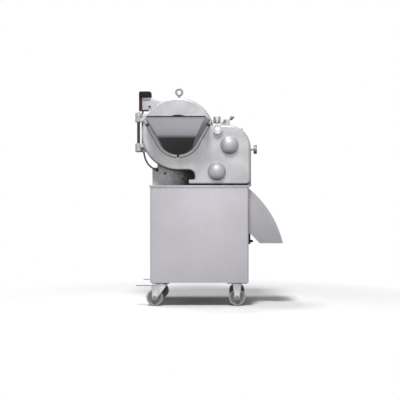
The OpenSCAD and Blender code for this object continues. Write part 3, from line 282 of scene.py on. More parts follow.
def surface_group():
    """Finish shared by metals and plastics: broad clouds, fine grain, painted shade on faces that look down, a
    painted shadow along X, roughness and a bump.
    """
    group, inside, outside = group_with("surface_finish", [
        ("Colour", "NodeSocketColor", (0.6, 0.6, 0.6, 1)),
        ("Shade", "NodeSocketColor", (0.4, 0.4, 0.4, 1)),
        ("Cloud Scale", "NodeSocketFloat", 6.0),
        ("Cloud Amount", "NodeSocketFloat", 0.3),
        ("Grain Stretch", "NodeSocketVector", (1.0, 1.0, 1.0)),
        ("Grain Scale", "NodeSocketFloat", 300.0),
        ("Grain Amount", "NodeSocketFloat", 0.2),
        ("Rough Low", "NodeSocketFloat", 0.3),
        ("Rough High", "NodeSocketFloat", 0.5),
        ("Bump", "NodeSocketFloat", 0.1),
        ("Depth", "NodeSocketFloat", 0.0005),
        ("Tarnish", "NodeSocketFloat", 0.0),
        ("Tarnish From", "NodeSocketFloat", 0.3),
        ("Tarnish To", "NodeSocketFloat", 0.9),
        ("Stain", "NodeSocketFloat", 0.0),
        ("Stain From", "NodeSocketFloat", 0.0),
        ("Stain To", "NodeSocketFloat", 1.0),
    ], [("Color", "NodeSocketColor"), ("Roughness", "NodeSocketFloat"), ("Normal", "NodeSocketVector")])
    given = inside.outputs
    place = group.nodes.new("ShaderNodeTexCoord")
    where = place.outputs["Object"]
    stretch = group.nodes.new("ShaderNodeMapping")
    group.links.new(where, stretch.inputs["Vector"])
    group.links.new(given["Grain Stretch"], stretch.inputs["Scale"])
    cloud = noise_node(group, where, given["Cloud Scale"], 5.0, 0.55)
    grain = noise_node(group, stretch.outputs[0], given["Grain Scale"], 4.0, 0.65)
    cloud_mask = math_node(group, "MULTIPLY", ranged(group, cloud, *CLOUD_LEVELS), given["Cloud Amount"])
    grain_mask = math_node(group, "MULTIPLY", ranged(group, grain, *GRAIN_LEVELS), given["Grain Amount"])
    both = math_node(group, "ADD", cloud_mask, grain_mask)
    clean = mixed(group, both, given["Colour"], given["Shade"])
    # Painted shade: faces that look down are darkened, standing in for the shade that falls on undersides
    facing_to = group.nodes.new("ShaderNodeSeparateXYZ")
    group.links.new(place.outputs["Normal"], facing_to.inputs[0])
    below = math_node(group, "MULTIPLY", facing_to.outputs["Z"], -1.0)
    shade_below = ranged(group, below, given["Tarnish From"], given["Tarnish To"])
    shade_below = math_node(group, "MULTIPLY", shade_below, given["Tarnish"])
    # Painted shadow: the casting is darkened towards +X, standing in for the shadow under the drum
    along = group.nodes.new("ShaderNodeSeparateXYZ")
    group.links.new(where, along.inputs[0])
    ragged = math_node(group, "ADD", along.outputs["X"], math_node(group, "MULTIPLY", cloud, SHADOW_WANDER))
    drum_shadow_mask = ranged(group, ragged, given["Stain From"], given["Stain To"])
    drum_shadow_mask = math_node(group, "MULTIPLY", drum_shadow_mask, given["Stain"])
    colour = mixed(group, math_node(group, "MAXIMUM", shade_below, drum_shadow_mask), clean, PAINTED_SHADE_COLOUR)
    roughness = ranged(group, math_node(group, "ADD", cloud, grain), *ROUGH_LEVELS,
                       given["Rough Low"], given["Rough High"])
    bump = group.nodes.new("ShaderNodeBump")
    group.links.new(grain, bump.inputs["Height"])
    group.links.new(given["Bump"], bump.inputs["Strength"])
    group.links.new(given["Depth"], bump.inputs["Distance"])
    group.links.new(colour, outside.inputs["Color"])
    group.links.new(roughness, outside.inputs["Roughness"])
    group.links.new(bump.outputs["Normal"], outside.inputs["Normal"])
    return group


def finish(name, colour, shade, metallic, specular=0.5, **values):
    """A material made from the shared surface group with its own values."""
    material = bpy.data.materials.new(name)
    material.use_nodes = True
    tree = material.node_tree
    shader = tree.nodes["Principled BSDF"]
    shader.inputs["Metallic"].default_value = metallic
    shader.inputs["Specular IOR Level"].default_value = specular
    node = tree.nodes.new("ShaderNodeGroup")
    node.node_tree = bpy.data.node_groups["surface_finish"]
    node.inputs["Colour"].default_value = (*colour, 1)
    node.inputs["Shade"].default_value = (*darker(colour, shade), 1)
    for label, value in values.items():
        node.inputs[label.replace("_", " ").title()].default_value = value
    for label, socket in (("Color", "Base Color"), ("Roughness", "Roughness"), ("Normal", "Normal")):
        tree.links.new(node.outputs[label], shader.inputs[socket])
    return material


def darker(colour, share):
    """A share of a colour."""
    return tuple(share * value for value in colour)


def make_finishes():
    """All materials of the machine by name."""
    surface_group()
    c = colours()
    # Each finish sets how strongly its faces that look down are darkened as painted shade; the rough casting also
    # gets a painted shadow towards +X
    return {
        "sheet_steel": finish("satin_sheet", c.sheet, 0.74, 0.4, cloud_scale=2.2, cloud_amount=0.5,
                              grain_stretch=(1, 1, 0.03), grain_scale=420.0, grain_amount=0.28,
                              rough_low=0.38, rough_high=0.52, bump=0.06, depth=0.0003,
                              tarnish=0.98, tarnish_from=0.42, tarnish_to=0.74),
        "cast_steel": finish("blasted_casting", c.cast, 0.66, 0.4, cloud_scale=11.0, cloud_amount=0.5,
                             grain_scale=650.0, grain_amount=0.3, rough_low=0.40, rough_high=0.56,
                             bump=0.16, depth=0.0004, tarnish=0.92, tarnish_from=0.18, tarnish_to=0.62),
        "dome_steel": finish("spun_dome", c.cast, 0.8, 0.4, cloud_scale=12.0, cloud_amount=0.4,
                             grain_scale=650.0, grain_amount=0.25, rough_low=0.46, rough_high=0.6,
                             bump=0.12, depth=0.0004, tarnish=0.75, tarnish_from=0.45, tarnish_to=0.98),
        "chute_steel": finish("chute_sheet", darker(c.sheet, 0.84), 0.74, 0.4, cloud_scale=3.0,
                              cloud_amount=0.5, grain_stretch=(1, 1, 0.05), grain_scale=420.0,
                              grain_amount=0.28, rough_low=0.38, rough_high=0.52, bump=0.06, depth=0.0003,
                              tarnish=0.9, tarnish_from=0.42, tarnish_to=0.86),
        "dull_steel": finish("dull_steel", darker(c.bright, 0.5), 0.7, 0.7, cloud_scale=30.0,
                             cloud_amount=0.4, grain_scale=400.0, grain_amount=0.3, rough_low=0.35,
                             rough_high=0.5, bump=0.08, depth=0.0003,
                             tarnish=0.8, tarnish_from=0.0, tarnish_to=0.8),
        "rough_cast": finish("rough_casting", c.rough, 0.12, 0.0, 0.3, cloud_scale=90.0, cloud_amount=0.2,
                             grain_scale=200.0, grain_amount=0.35, rough_low=0.6, rough_high=0.85,
                             bump=0.7, depth=0.002, stain=0.95, stain_from=-0.21, stain_to=-0.10),
        "bright_steel": finish("turned_steel", c.bright, 0.8, 0.85, cloud_scale=20.0, cloud_amount=0.3,
                               grain_scale=500.0, grain_amount=0.2, rough_low=0.2, rough_high=0.34,
                               bump=0.05, depth=0.0002, tarnish=0.6, tarnish_from=0.1, tarnish_to=0.9),
        "zinc_steel": finish("zinc_plate", c.bright, 0.75, 0.9, cloud_scale=40.0, cloud_amount=0.4,
                             grain_scale=300.0, grain_amount=0.3, rough_low=0.3, rough_high=0.48,
                             bump=0.06, depth=0.0002, tarnish=0.85, tarnish_from=0.0, tarnish_to=0.8),
        "dark_steel": finish("blackened_steel", c.dark, 0.6, 0.5, cloud_scale=40.0, cloud_amount=0.4,
                             grain_scale=400.0, grain_amount=0.3, rough_low=0.35, rough_high=0.5,
                             bump=0.06, depth=0.0002),
        "motor_paint": finish("motor_paint", c.motor, 0.7, 0.0, cloud_scale=14.0, cloud_amount=0.4,
                              grain_scale=300.0, grain_amount=0.3, rough_low=0.4, rough_high=0.55,
                              bump=0.1, depth=0.0003),
        "black_plastic": finish("black_plastic", c.black, 0.5, 0.0, 0.12, cloud_scale=30.0,
                                grain_scale=900.0, rough_low=0.45, rough_high=0.6, bump=0.12, depth=0.0002),
        "dark_casing": finish("switch_casing", c.maroon, 0.5, 0.0, 0.15, cloud_scale=30.0,
                              grain_scale=700.0, rough_low=0.4, rough_high=0.55, bump=0.1, depth=0.0002),
        "lead_sheath": finish("lead_sheath", c.sheath, 0.6, 0.0, 0.6, cloud_scale=50.0,
                              grain_scale=900.0, rough_low=0.28, rough_high=0.42, bump=0.08, depth=0.0002),
        "black_rubber": finish("cable_rubber", c.black, 0.6, 0.0, 0.25, cloud_scale=50.0,
                               grain_scale=900.0, rough_low=0.5, rough_high=0.7, bump=0.1, depth=0.0002),
        "core": finish("wheel_core", c.core, 0.7, 0.0, cloud_scale=25.0, cloud_amount=0.4,
                       grain_scale=400.0, grain_amount=0.3, rough_low=0.45, rough_high=0.6,
                       bump=0.08, depth=0.0003),
        "wheel_grey": finish("wheel_tread", c.tread, 0.8, 0.0, cloud_scale=25.0, cloud_amount=0.4,
                             grain_scale=500.0, grain_amount=0.3, rough_low=0.5, rough_high=0.7,
                             bump=0.1, depth=0.0003),
    }


def made_finish(slot):
    """Material made for a slot or look."""
    return bpy.data.materials[bpy.context.scene["finish_" + slot]]


def paint(piece, slot):
    """Gives a piece the finish of a slot."""
    piece.data.materials.clear()
    piece.data.materials.append(made_finish(slot))


def settle(piece, body, slot, *nodes, look=None):
    """Paints a new piece, makes it ride on a body and hides the solids that it stands for."""
    paint(piece, look or slot)
    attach(piece, body)
    if nodes:
        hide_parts(*nodes)


# Modelling helpers

def only(piece):
    """Selects one object alone."""
    bpy.ops.object.select_all(action="DESELECT")
    piece.select_set(True)
    bpy.context.view_layer.objects.active = piece


def place_into_mesh():
    """Puts the place, turn and scale of the selected object into its mesh."""
    bpy.ops.object.transform_apply(location=True, rotation=True, scale=True)


def start(add, name, **options):
    """Adds a primitive alone and puts its place into its mesh."""
    bpy.ops.object.select_all(action="DESELECT")
    add(**options)
    piece = bpy.context.object
    piece.name = name
    place_into_mesh()
    return piece


def block(name, size, location):
    """A block of a size round its middle."""
    return start(bpy.ops.mesh.primitive_cube_add, name, size=1, location=location, scale=size)


def along_y(name, sides, radius, first, last):
    """A round or many-sided bar on the Y axis between two depths."""
    return start(bpy.ops.mesh.primitive_cylinder_add, name, vertices=sides, radius=radius,
                 depth=abs(last - first), location=(0, (first + last) / 2, 0), rotation=(math.pi / 2, 0, 0))


def opened(piece, kind="FACE"):
    """Opens a piece alone in edit mode with nothing selected."""
    only(piece)
    bpy.ops.object.mode_set(mode="EDIT")
    bpy.ops.mesh.select_mode(type=kind)
    bpy.ops.mesh.select_all(action="DESELECT")
    return bmesh.from_edit_mesh(piece.data)


def close():
    """Leaves edit mode."""
    bpy.ops.object.mode_set(mode="OBJECT")


def pick(piece, test):
    """Opens a piece in edit mode with only the faces selected that pass a test on middle and normal."""
    mesh = opened(piece)
    for face in mesh.faces:
        face.select_set(bool(test(face.calc_center_median(), face.normal)))
    bmesh.update_edit_mesh(piece.data)


def facing(way):
    """Test for faces that look along a direction."""
    return lambda at, normal: normal.dot(way) > LOOKING


def stepped(piece, test, *steps):
    """Insets the faces that pass a test in steps, each with its width and its height."""
    pick(piece, test)
    for width, height in steps:
        bpy.ops.mesh.inset(thickness=width, depth=height)
    close()


def rounded(piece, width, segments=3, angle=30.0):
    """Bevels the sharp edges of a piece and smooths it."""
    only(piece)
    bevel = piece.modifiers.new("edge", "BEVEL")
    bevel.width = width
    bevel.segments = segments
    bevel.limit_method = "ANGLE"
    bevel.angle_limit = math.radians(angle)
    bpy.ops.object.modifier_apply(modifier="edge")
    bpy.ops.object.shade_smooth_by_angle(angle=math.radians(angle))


def joined(pieces, name):
    """Joins pieces into one."""
    bpy.ops.object.select_all(action="DESELECT")
    for piece in pieces:
        piece.select_set(True)
    bpy.context.view_layer.objects.active = pieces[0]
    bpy.ops.object.join()
    pieces[0].name = name
    return pieces[0]


def spread(model, places):
    """Copies of a piece moved to places, each with its own mesh; the piece itself is removed."""
    copies = []
    for place in places:
        twin = bpy.data.objects.new(model.name, model.data.copy())
        bpy.context.scene.collection.objects.link(twin)
        twin.location = place
        only(twin)
        place_into_mesh()
        copies.append(twin)
    bpy.data.objects.remove(model)
    return copies


def merged_copy(node, name, reach=0.00002, bend=0.5):
    """Copy of a solid with its loose triangles merged into whole faces."""
    piece = bpy.data.objects.new(name, frame["nodes"][node].data.copy())
    bpy.context.scene.collection.objects.link(piece)
    opened(piece)
    bpy.ops.mesh.select_all(action="SELECT")
    bpy.ops.mesh.remove_doubles(threshold=reach)
    bpy.ops.mesh.dissolve_limited(angle_limit=math.radians(bend))
    close()
    return piece


def loose_middles(node, reach=0.03):
    """Middles in the front view of a solid's loose parts, each the middle of its points' box."""
    groups = []
    for vertex in frame["nodes"][node].data.vertices:
        point = vertex.co
        for group in groups:
            if math.hypot(group[0].x - point.x, group[0].z - point.z) < reach:
                group.append(point)
                break
        else:
            groups.append([point])
    return [((min(p.x for p in g) + max(p.x for p in g)) / 2, (min(p.z for p in g) + max(p.z for p in g)) / 2)
            for g in groups]


# Studio: the lens stands a little right of the machine, and its picture is moved back to frame it
LENS_FROM_LEFT_SIDE = 0.498
LENS_HEIGHT = 0.612
PICTURE_SHIFT = (-0.0825, 0.0125)
SENSOR_WIDTH = 36.0
VIEW_END = 100.0
# Name, place, aim, side and power of each lamp
LAMPS = (
    ("key", (-0.35, -2.5, 4.0), (0.0, 0.0, 0.6), 0.8, 145.0),
    ("fill", (-0.1, -4.6, 1.3), (0.0, 0.0, 0.7), 1.6, 30.0),
    ("top", (-1.0, 0.2, 4.2), (0.0, 0.0, 0.0), 0.7, 52.0),
)
# Share of the floor's colour that it throws back as light
FLOOR_LIGHT = 0.4
# Distances from the machine over which the floor runs out into white
FLOOR_FADE = (0.85, 1.7)


class DICER_OT_stage(bpy.types.Operator):
    """Camera, floor, lamps and world"""

    bl_idname = "dicer.stage"
    bl_label = "Studio"

    def execute(self, context):
        scene = context.scene
        scene.view_settings.view_transform = "Standard"
        self.camera(scene)
        bpy.ops.object.select_all(action="DESELECT")
        bpy.ops.mesh.primitive_plane_add(size=sizes().floor_size, location=(0, 0, 0))
        floor = context.object
        floor.name = "studio_floor"
        floor.data.materials.append(self.floor_material())
        for name, spot, aim, side, power in LAMPS:
            lamp = bpy.data.lights.new(name, "AREA")
            lamp.size = side
            lamp.energy = power
            lamp_object = bpy.data.objects.new(name, lamp)
            lamp_object.location = spot
            lamp_object.rotation_euler = (Vector(aim) - Vector(spot)).to_track_quat("-Z", "Y").to_euler()
            scene.collection.objects.link(lamp_object)
        self.world(scene)
        return {"FINISHED"}

    def camera(self, scene):
        """Lens that looks level at the front."""
        distance = sizes().camera_distance
        data = bpy.data.cameras.new("studio_camera")
        data.sensor_width = SENSOR_WIDTH
        data.lens = SENSOR_WIDTH * distance / sizes().view_width
        data.shift_x, data.shift_y = PICTURE_SHIFT
        data.clip_end = VIEW_END
        camera = bpy.data.objects.new("studio_camera", data)
        camera.location = (low("cabinet_wrap").x + LENS_FROM_LEFT_SIDE, low("front_door").y - distance,
                           LENS_HEIGHT)
        camera.rotation_euler = (math.radians(90), 0, 0)
        scene.collection.objects.link(camera)
        scene.camera = camera

    def floor_material(self):
        """Pale floor round the machine that keeps its shadow and runs out into the white of the studio."""
        material = bpy.data.materials.new("studio_floor")
        material.use_nodes = True
        tree = material.node_tree
        shader = tree.nodes["Principled BSDF"]
        card = (*darker(colours().floor, FLOOR_LIGHT), 1)
        tone = mixed(tree, seen_rays(tree), card, (*colours().floor, 1))
        tree.links.new(tone, shader.inputs["Base Color"])
        shader.inputs["Roughness"].default_value = 0.9
        shader.inputs["Specular IOR Level"].default_value = 0.0
        place = tree.nodes.new("ShaderNodeTexCoord")
        away = tree.nodes.new("ShaderNodeVectorMath")
        away.operation = "LENGTH"
        tree.links.new(place.outputs["Object"], away.inputs[0])
        far = ranged(tree, away.outputs["Value"], *FLOOR_FADE)
        glow = tree.nodes.new("ShaderNodeEmission")
        mix = tree.nodes.new("ShaderNodeMixShader")
        tree.links.new(math_node(tree, "MULTIPLY", far, seen_rays(tree)), mix.inputs[0])
        tree.links.new(shader.outputs[0], mix.inputs[1])
        tree.links.new(glow.outputs[0], mix.inputs[2])
        tree.links.new(mix.outputs[0], tree.nodes["Material Output"].inputs["Surface"])
        return material

    def world(self, scene):
        """White to the lens and in reflections, softer as light."""
        world = bpy.data.worlds.new("studio_world")
        world.use_nodes = True
        tree = world.node_tree
        strength = ranged(tree, seen_rays(tree), 0.0, 1.0, sizes().ambient, 1.0)
        background = tree.nodes["Background"]
        background.inputs["Color"].default_value = (1, 1, 1, 1)
        tree.links.new(strength, background.inputs["Strength"])
        scene.world = world


class DICER_OT_finishes(bpy.types.Operator):
    """Finish of every solid"""

    bl_idname = "dicer.finishes"
    bl_label = "Finishes"

    def execute(self, context):
        for slot, material in make_finishes().items():
            context.scene["finish_" + slot] = material.name
        for node, solid in frame["nodes"].items():
            paint(solid, LOOK_OF.get(node, SLOT_OF[node]))
        return {"FINISHED"}


class DICER_OT_edges(bpy.types.Operator):
    """Soft edges on the visible solids"""

    bl_idname = "dicer.edges"
    bl_label = "Soft edges"

    def execute(self, context):
        for node, edge in SOFT_EDGES.items():
            piece = merged_copy(node, "soft_" + node)
            rounded(piece, getattr(sizes(), edge))
            settle(piece, BODY_OF[node], SLOT_OF[node], node, look=LOOK_OF.get(node))
        return {"FINISHED"}


class DICER_OT_cable(bpy.types.Operator):
    """Switch cable, led down behind the hinge to its gland"""

    bl_idname = "dicer.cable"
    bl_label = "Switch cable"

    def execute(self, context):
        data = bpy.data.curves.new("switch_lead", "CURVE")
        data.dimensions = "3D"
        data.bevel_depth = sizes().cable_radius
        data.bevel_resolution = 4
        data.resolution_u = 6
        data.use_fill_caps = True
        spline = data.splines.new("BEZIER")
        spline.bezier_points.add(len(CABLE_ROUTE) - 1)
        for point, place in zip(spline.bezier_points, CABLE_ROUTE):
            point.co = place
            point.handle_left_type = point.handle_right_type = "AUTO"
        lead = bpy.data.objects.new("switch_lead", data)
        context.scene.collection.objects.link(lead)
        only(lead)
        bpy.ops.object.convert(target="MESH")
        lead = context.object
        bpy.ops.object.shade_smooth()
        settle(lead, "machine", "black_rubber", "switch_cable", look="lead_sheath")
        return {"FINISHED"}


# Caster wheels: how far the tread stands back from the hub's end, and the steps from the rim inwards,
# which are the side of the tread, the wall down to the web, the web, the wall of the hub and its end
TREAD_BACK = 0.002
WHEEL_STEPS = ((0.011, 0.0), (0.0015, -0.005), (0.0195, 0.0), (0.002, 0.0065), (0.008, 0.0))
# Width of the tread's side as far as its own finish goes
TREAD_SIDE = 0.0115


class DICER_OT_wheels(bpy.types.Operator):
    """Caster wheels: a round tread on a recessed web with a hub"""

    bl_idname = "dicer.wheels"
    bl_label = "Caster wheels"

    def execute(self, context):
        reach, boss, _ = half("front_left_wheel")
        tyres = spread(self.wheel(reach, boss - TREAD_BACK), [middle(node) for node in FORK_OF])
        for node, tyre in zip(FORK_OF, tyres):
            tyre.name = "tyre_" + node
            settle(tyre, BODY_OF[node], "wheel_grey", node)
            self.dress_web(tyre, middle(node), reach)
        return {"FINISHED"}

    def wheel(self, reach, half_width):
        """A wheel round the origin."""
        wheel = along_y("tyre", 72, reach, -half_width, half_width)
        stepped(wheel, lambda at, normal: abs(normal.y) > LOOKING, *WHEEL_STEPS)
        self.round_rim(wheel, reach)
        rounded(wheel, width=0.0007, segments=2, angle=40.0)
        return wheel

    def round_rim(self, wheel, reach, slack=0.0001):
        """Rolls the tread over its two outer edges."""
        mesh = opened(wheel, "EDGE")
        for edge in mesh.edges:
            ends = [math.hypot(v.co.x, v.co.z) for v in edge.verts]
            level = abs(edge.verts[0].co.y - edge.verts[1].co.y) < slack
            edge.select_set(level and min(ends) > reach - slack)
        bmesh.update_edit_mesh(wheel.data)
        bpy.ops.mesh.bevel(offset=0.007, segments=5, affect="EDGES")
        close()

    def dress_web(self, wheel, at, reach):
        """Gives the web and hub the moulded core's finish."""
        wheel.data.materials.append(made_finish("core"))
        for face in wheel.data.polygons:
            away = math.hypot(face.center.x - at.x, face.center.z - at.z)
            face.material_index = 1 if away < reach - TREAD_SIDE else 0


# Axle nuts: name, sides, radius, foot, height and edge of each ring, outwards from the fork
NUT_RINGS = (
    ("washer", 36, 0.0125, -0.0002, 0.0014, 0.0003),
    ("nut", 6, 0.0098, 0.0010, 0.0058, 0.0008),
    ("axle_end", 28, 0.0052, 0.0040, 0.0044, 0.0008),
)
NUT_LAND = 0.0009
# Room round the axle and along it in which a fork's points count as its sides there
AXLE_ROOM = 0.02
FORK_ROOM = 0.06


class DICER_OT_axles(bpy.types.Operator):
    """Axle nuts on the caster forks"""

    bl_idname = "dicer.axles"
    bl_label = "Caster trim"

    def execute(self, context):
        sides = [self.fork_sides(wheel, fork) for wheel, fork in FORK_OF.items()]
        fronts = spread(self.nut(-1), [front for front, back in sides])
        backs = spread(self.nut(1), [back for front, back in sides])
        for wheel, *nuts in zip(FORK_OF, fronts, backs):
            settle(joined(nuts, "axle_nuts_" + wheel), BODY_OF[FORK_OF[wheel]], "zinc_steel",
                   look="dull_steel")
        return {"FINISHED"}

    def fork_sides(self, wheel, fork):
        """Places at the front and back of a fork where the axle of a wheel comes out."""
        at = middle(wheel)
        depths = [v.co.y for v in frame["nodes"][fork].data.vertices
                  if math.hypot(v.co.x - at.x, v.co.z - at.z) < AXLE_ROOM and abs(v.co.y - at.y) < FORK_ROOM]
        return (at.x, min(depths), at.z), (at.x, max(depths), at.z)

    def nut(self, side):
        """Hexagon nut on a washer with the end of the axle in it, to the front or back of the origin."""
        rings = []
        for name, sides, radius, foot, height, edge in NUT_RINGS:
            ring = along_y(name, sides, radius, side * foot, side * (foot + height))
            stepped(ring, facing(side * BACK), (NUT_LAND, 0.0))
            rounded(ring, edge, segments=2, angle=35.0)
            rings.append(ring)
        return joined(rings, "axle_nut")


# Turned knobs: how far a part of a knob reaches into the next one
KNOB_SUNK = 0.001
DISC_HEIGHT = 0.014
COLLAR_RADIUS = 0.012
COLLAR_SUNK = 0.0005
COLLAR_GAP = 0.0008
STUD_RADIUS = 0.006
STUD_FOOT = 0.02
ADJUSTER_HEIGHT = 0.040
ADJUSTER_STEM = 0.008
GATE_KNOB_RADIUS = 0.010
GATE_KNOB_FOOT = 0.034
GATE_KNOB_TOP = 0.058
GATE_NECK_RADIUS = 0.0065
GATE_NECK_FOOT = 0.030
GATE_SCREW_RADIUS = 0.0045
CLAMP_HEIGHT = 0.020
CLAMP_STEM = 0.006
# Land and wall of a dished end, as shares of its radius, and its depth
DISH_LAND = 0.12
DISH_WALL = 0.05
DISH_DEPTH = 0.0007
# Digits to which the turns of two faces are the same
TURN_DIGITS = 4


class DICER_OT_knobs(bpy.types.Operator):
    """Turned knobs with straight knurls, dished ends and stems"""

    bl_idname = "dicer.knobs"
    bl_label = "Knobs"

    def execute(self, context):
        edge = sizes().bright_edge
        self.door_knob(edge)
        self.adjuster(edge)
        self.gate_knob(edge / 2)
        self.clamp(edge)
        return {"FINISHED"}

    def door_knob(self, edge):
        """Disc on a collar and a stud in front of the door."""
        at = Vector(joint("lock_knob_turn")["pos_m"])
        front, back = low("door_lock_knob").y, high("door_lock_knob").y
        reach = half("door_lock_knob").x
        disc = self.turned("lock_disc", 96, reach, (at.x, front, at.z), (at.x, front + DISC_HEIGHT, at.z))
        self.dished(disc, FRONT, reach)
        rounded(disc, edge, angle=35.0)
        collar = self.turned("lock_collar", 48, COLLAR_RADIUS,
                             (at.x, front + DISC_HEIGHT - COLLAR_SUNK, at.z), (at.x, at.y - COLLAR_GAP, at.z))
        stud = self.turned("lock_stud", 32, STUD_RADIUS, (at.x, front + STUD_FOOT, at.z), (at.x, back, at.z))
        settle(joined([disc, collar, stud], "lock_knob_turned"), "lock_knob", "bright_steel",
               "door_lock_knob")

    def adjuster(self, edge):
        """Knurled head on an upright stem."""
        foot, top = low("gate_adjuster").z, high("gate_adjuster").z
        at = middle("gate_adjuster")
        reach = half("gate_adjuster").x
        under = top - ADJUSTER_HEIGHT
        head = self.turned("adjuster_head", 90, reach, (at.x, at.y, under), (at.x, at.y, top))
        self.knurled_head(head, UP, reach, at, edge)
        stem = self.turned("adjuster_stem", 32, ADJUSTER_STEM, (at.x, at.y, foot),
                           (at.x, at.y, under + KNOB_SUNK))
        settle(joined([head, stem], "adjuster_turned"), "adjuster", "bright_steel", "gate_adjuster")

    def gate_knob(self, edge):
        """Small knurled head, neck and screw along the leaning axis of the gate lock."""
        foot = Vector(joint("gate_lock_turn")["pos_m"])
        lean = Vector(joint("gate_lock_turn")["axis"]).normalized()
        head = self.turned("lock_head", 60, GATE_KNOB_RADIUS, foot + lean * GATE_KNOB_FOOT,
                           foot + lean * GATE_KNOB_TOP)
        self.knurled_head(head, lean, GATE_KNOB_RADIUS, foot, edge)
        neck = self.turned("lock_neck", 32, GATE_NECK_RADIUS, foot + lean * GATE_NECK_FOOT,
                           foot + lean * (GATE_KNOB_FOOT + KNOB_SUNK / 2))
        screw = self.turned("lock_screw", 32, GATE_SCREW_RADIUS, foot,
                            foot + lean * (GATE_KNOB_FOOT + KNOB_SUNK))
        settle(joined([head, neck, screw], "gate_lock_turned"), "gate_lock", "bright_steel", "gate_lock_knob",
               look="dull_steel")

    def clamp(self, edge):
        """Knurled head on a stem to the right."""
        left, right = low("side_clamp_knob").x, high("side_clamp_knob").x
        at = middle("side_clamp_knob")
        reach = half("side_clamp_knob").z
        under = right - CLAMP_HEIGHT
        head = self.turned("clamp_head", 90, reach, (under, at.y, at.z), (right, at.y, at.z))
        self.knurled_head(head, RIGHT, reach, at, edge)
        stem = self.turned("clamp_stem", 32, CLAMP_STEM, (left, at.y, at.z), (under + KNOB_SUNK, at.y, at.z))
        settle(joined([head, stem], "clamp_turned"), "side_clamp", "bright_steel", "side_clamp_knob",
               look="dull_steel")

    def turned(self, name, sides, radius, foot, top):
        """A cylinder from foot to top."""
        foot, top = Vector(foot), Vector(top)
        turn = (top - foot).to_track_quat("Z", "Y").to_euler()
        return start(bpy.ops.mesh.primitive_cylinder_add, name, vertices=sides, radius=radius,
                     depth=(top - foot).length, location=(foot + top) / 2, rotation=turn)

    def knurled_head(self, head, way, reach, at, edge):
        """Dishes, rounds and knurls a head that looks along a direction."""
        self.dished(head, way, reach)
        rounded(head, edge, segments=2, angle=35.0)
        self.knurled(head, way, at)

    def dished(self, piece, way, radius):
        """Turns a shallow dish into the end that looks along a direction."""
        stepped(piece, facing(way), (radius * DISH_LAND, 0.0), (radius * DISH_WALL, -DISH_DEPTH))

    def knurled(self, piece, axis, at):
        """Grooves along the axis in every second face of the side."""
        across = axis.orthogonal().normalized()
        beside = axis.cross(across)

        def turn(point):
            away = point - at
            return round(math.atan2(away.dot(beside), away.dot(across)), TURN_DIGITS)

        turns = sorted({turn(face.center) for face in piece.data.polygons
                        if abs(face.normal.dot(axis)) < BESIDE})
        every_second = set(turns[1::2])

        def groove(middle_at, normal):
            return abs(normal.dot(axis)) < BESIDE and turn(middle_at) in every_second

        pick(piece, groove)
        bpy.ops.mesh.inset(thickness=0.0002, depth=-0.0005, use_individual=True)
        close()
        bpy.ops.object.shade_smooth_by_angle(angle=math.radians(25))


# Flange bolts
BOLT_HEAD_RADIUS = 0.0069
BOLT_HEAD_HEIGHT = 0.0058
BOLT_HEAD_STEPS = ((0.0012, 0.0), (0.0008, -0.0004))
BOLT_WASHER_RADIUS = 0.0085
BOLT_WASHER_HEIGHT = 0.0012
SHANK_RADIUS = 0.004
SHANK_FOOT = 0.004
SHANK_TIP = (0.0008, 0.0008)


class DICER_OT_bolts(bpy.types.Operator):
    """Blackened hexagon bolts of the hopper flange, each on a washer"""

    bl_idname = "dicer.bolts"
    bl_label = "Flange bolts"

    def execute(self, context):
        bolt = self.bolt(low("hopper_bolts").y, high("hopper_bolts").y)
        bolts = spread(bolt, [(x, 0, z) for x, z in loose_middles("hopper_bolts")])
        settle(joined(bolts, "flange_bolts"), "door", "bright_steel", "hopper_bolts", look="dark_steel")
        return {"FINISHED"}

    def bolt(self, front, back):
        """A bolt on the Y axis from the face of its head to the tip of its shank."""
        under = front + BOLT_HEAD_HEIGHT
        head = along_y("bolt_head", 6, BOLT_HEAD_RADIUS, front, under)
        stepped(head, facing(FRONT), *BOLT_HEAD_STEPS)
        rounded(head, width=0.0005, segments=2, angle=35.0)
        washer = along_y("washer", 40, BOLT_WASHER_RADIUS, under, under + BOLT_WASHER_HEIGHT)
        rounded(washer, width=0.0003, segments=2, angle=35.0)
        shank = along_y("bolt_shank", 24, SHANK_RADIUS, front + SHANK_FOOT, back)
        stepped(shank, facing(BACK), SHANK_TIP)
        return joined([head, washer, shank], "flange_bolt")


# Room round a flange bolt that the black beads keep free
BOLT_ROOM = 0.012


class DICER_OT_flange_shade(bpy.types.Operator):
    """Black beads round the edges of the hopper flange, as painted shade where the flange meets the door"""

    bl_idname = "dicer.seal"
    bl_label = "Flange shade beads"

    def execute(self, context):
        bead = merged_copy("hopper_flange", "flange_bead")
        front, back = low("hopper_flange").y, high("hopper_flange").y
        bolts = loose_middles("hopper_bolts")

        def left_bare(at, normal):
            near_bolt = any(math.hypot(at.x - x, at.z - z) < BOLT_ROOM for x, z in bolts)
            return abs(normal.y) > 0.5 or near_bolt

        pick(bead, left_bare)
        bpy.ops.mesh.delete(type="FACE")
        close()
        for vertex in bead.data.vertices:
            vertex.co.y = back if vertex.co.y > (front + back) / 2 else back - sizes().bead_height
        thick = bead.modifiers.new("bead", "SOLIDIFY")
        thick.thickness = sizes().bead_width
        thick.offset = 1.0
        only(bead)
        bpy.ops.object.modifier_apply(modifier="bead")
        rounded(bead, width=0.0008, segments=2, angle=40.0)
        settle(bead, "door", "black_rubber")
        return {"FINISHED"}


# Black strip along the lip, as painted shade on the underside of the lip's edge: room in which the hopper's points
# count as its front lip, and the strip's own sizes
LIP_ROOM = 0.008
STRIP_DEPTH = 0.0075
STRIP_HEIGHT = 0.007
STRIP_BEHIND_LIP = 0.0032
STRIP_BELOW_LIP = 0.001
STRIP_GROOVE = ((0.0012, 0.0), (0.0002, -0.0004))


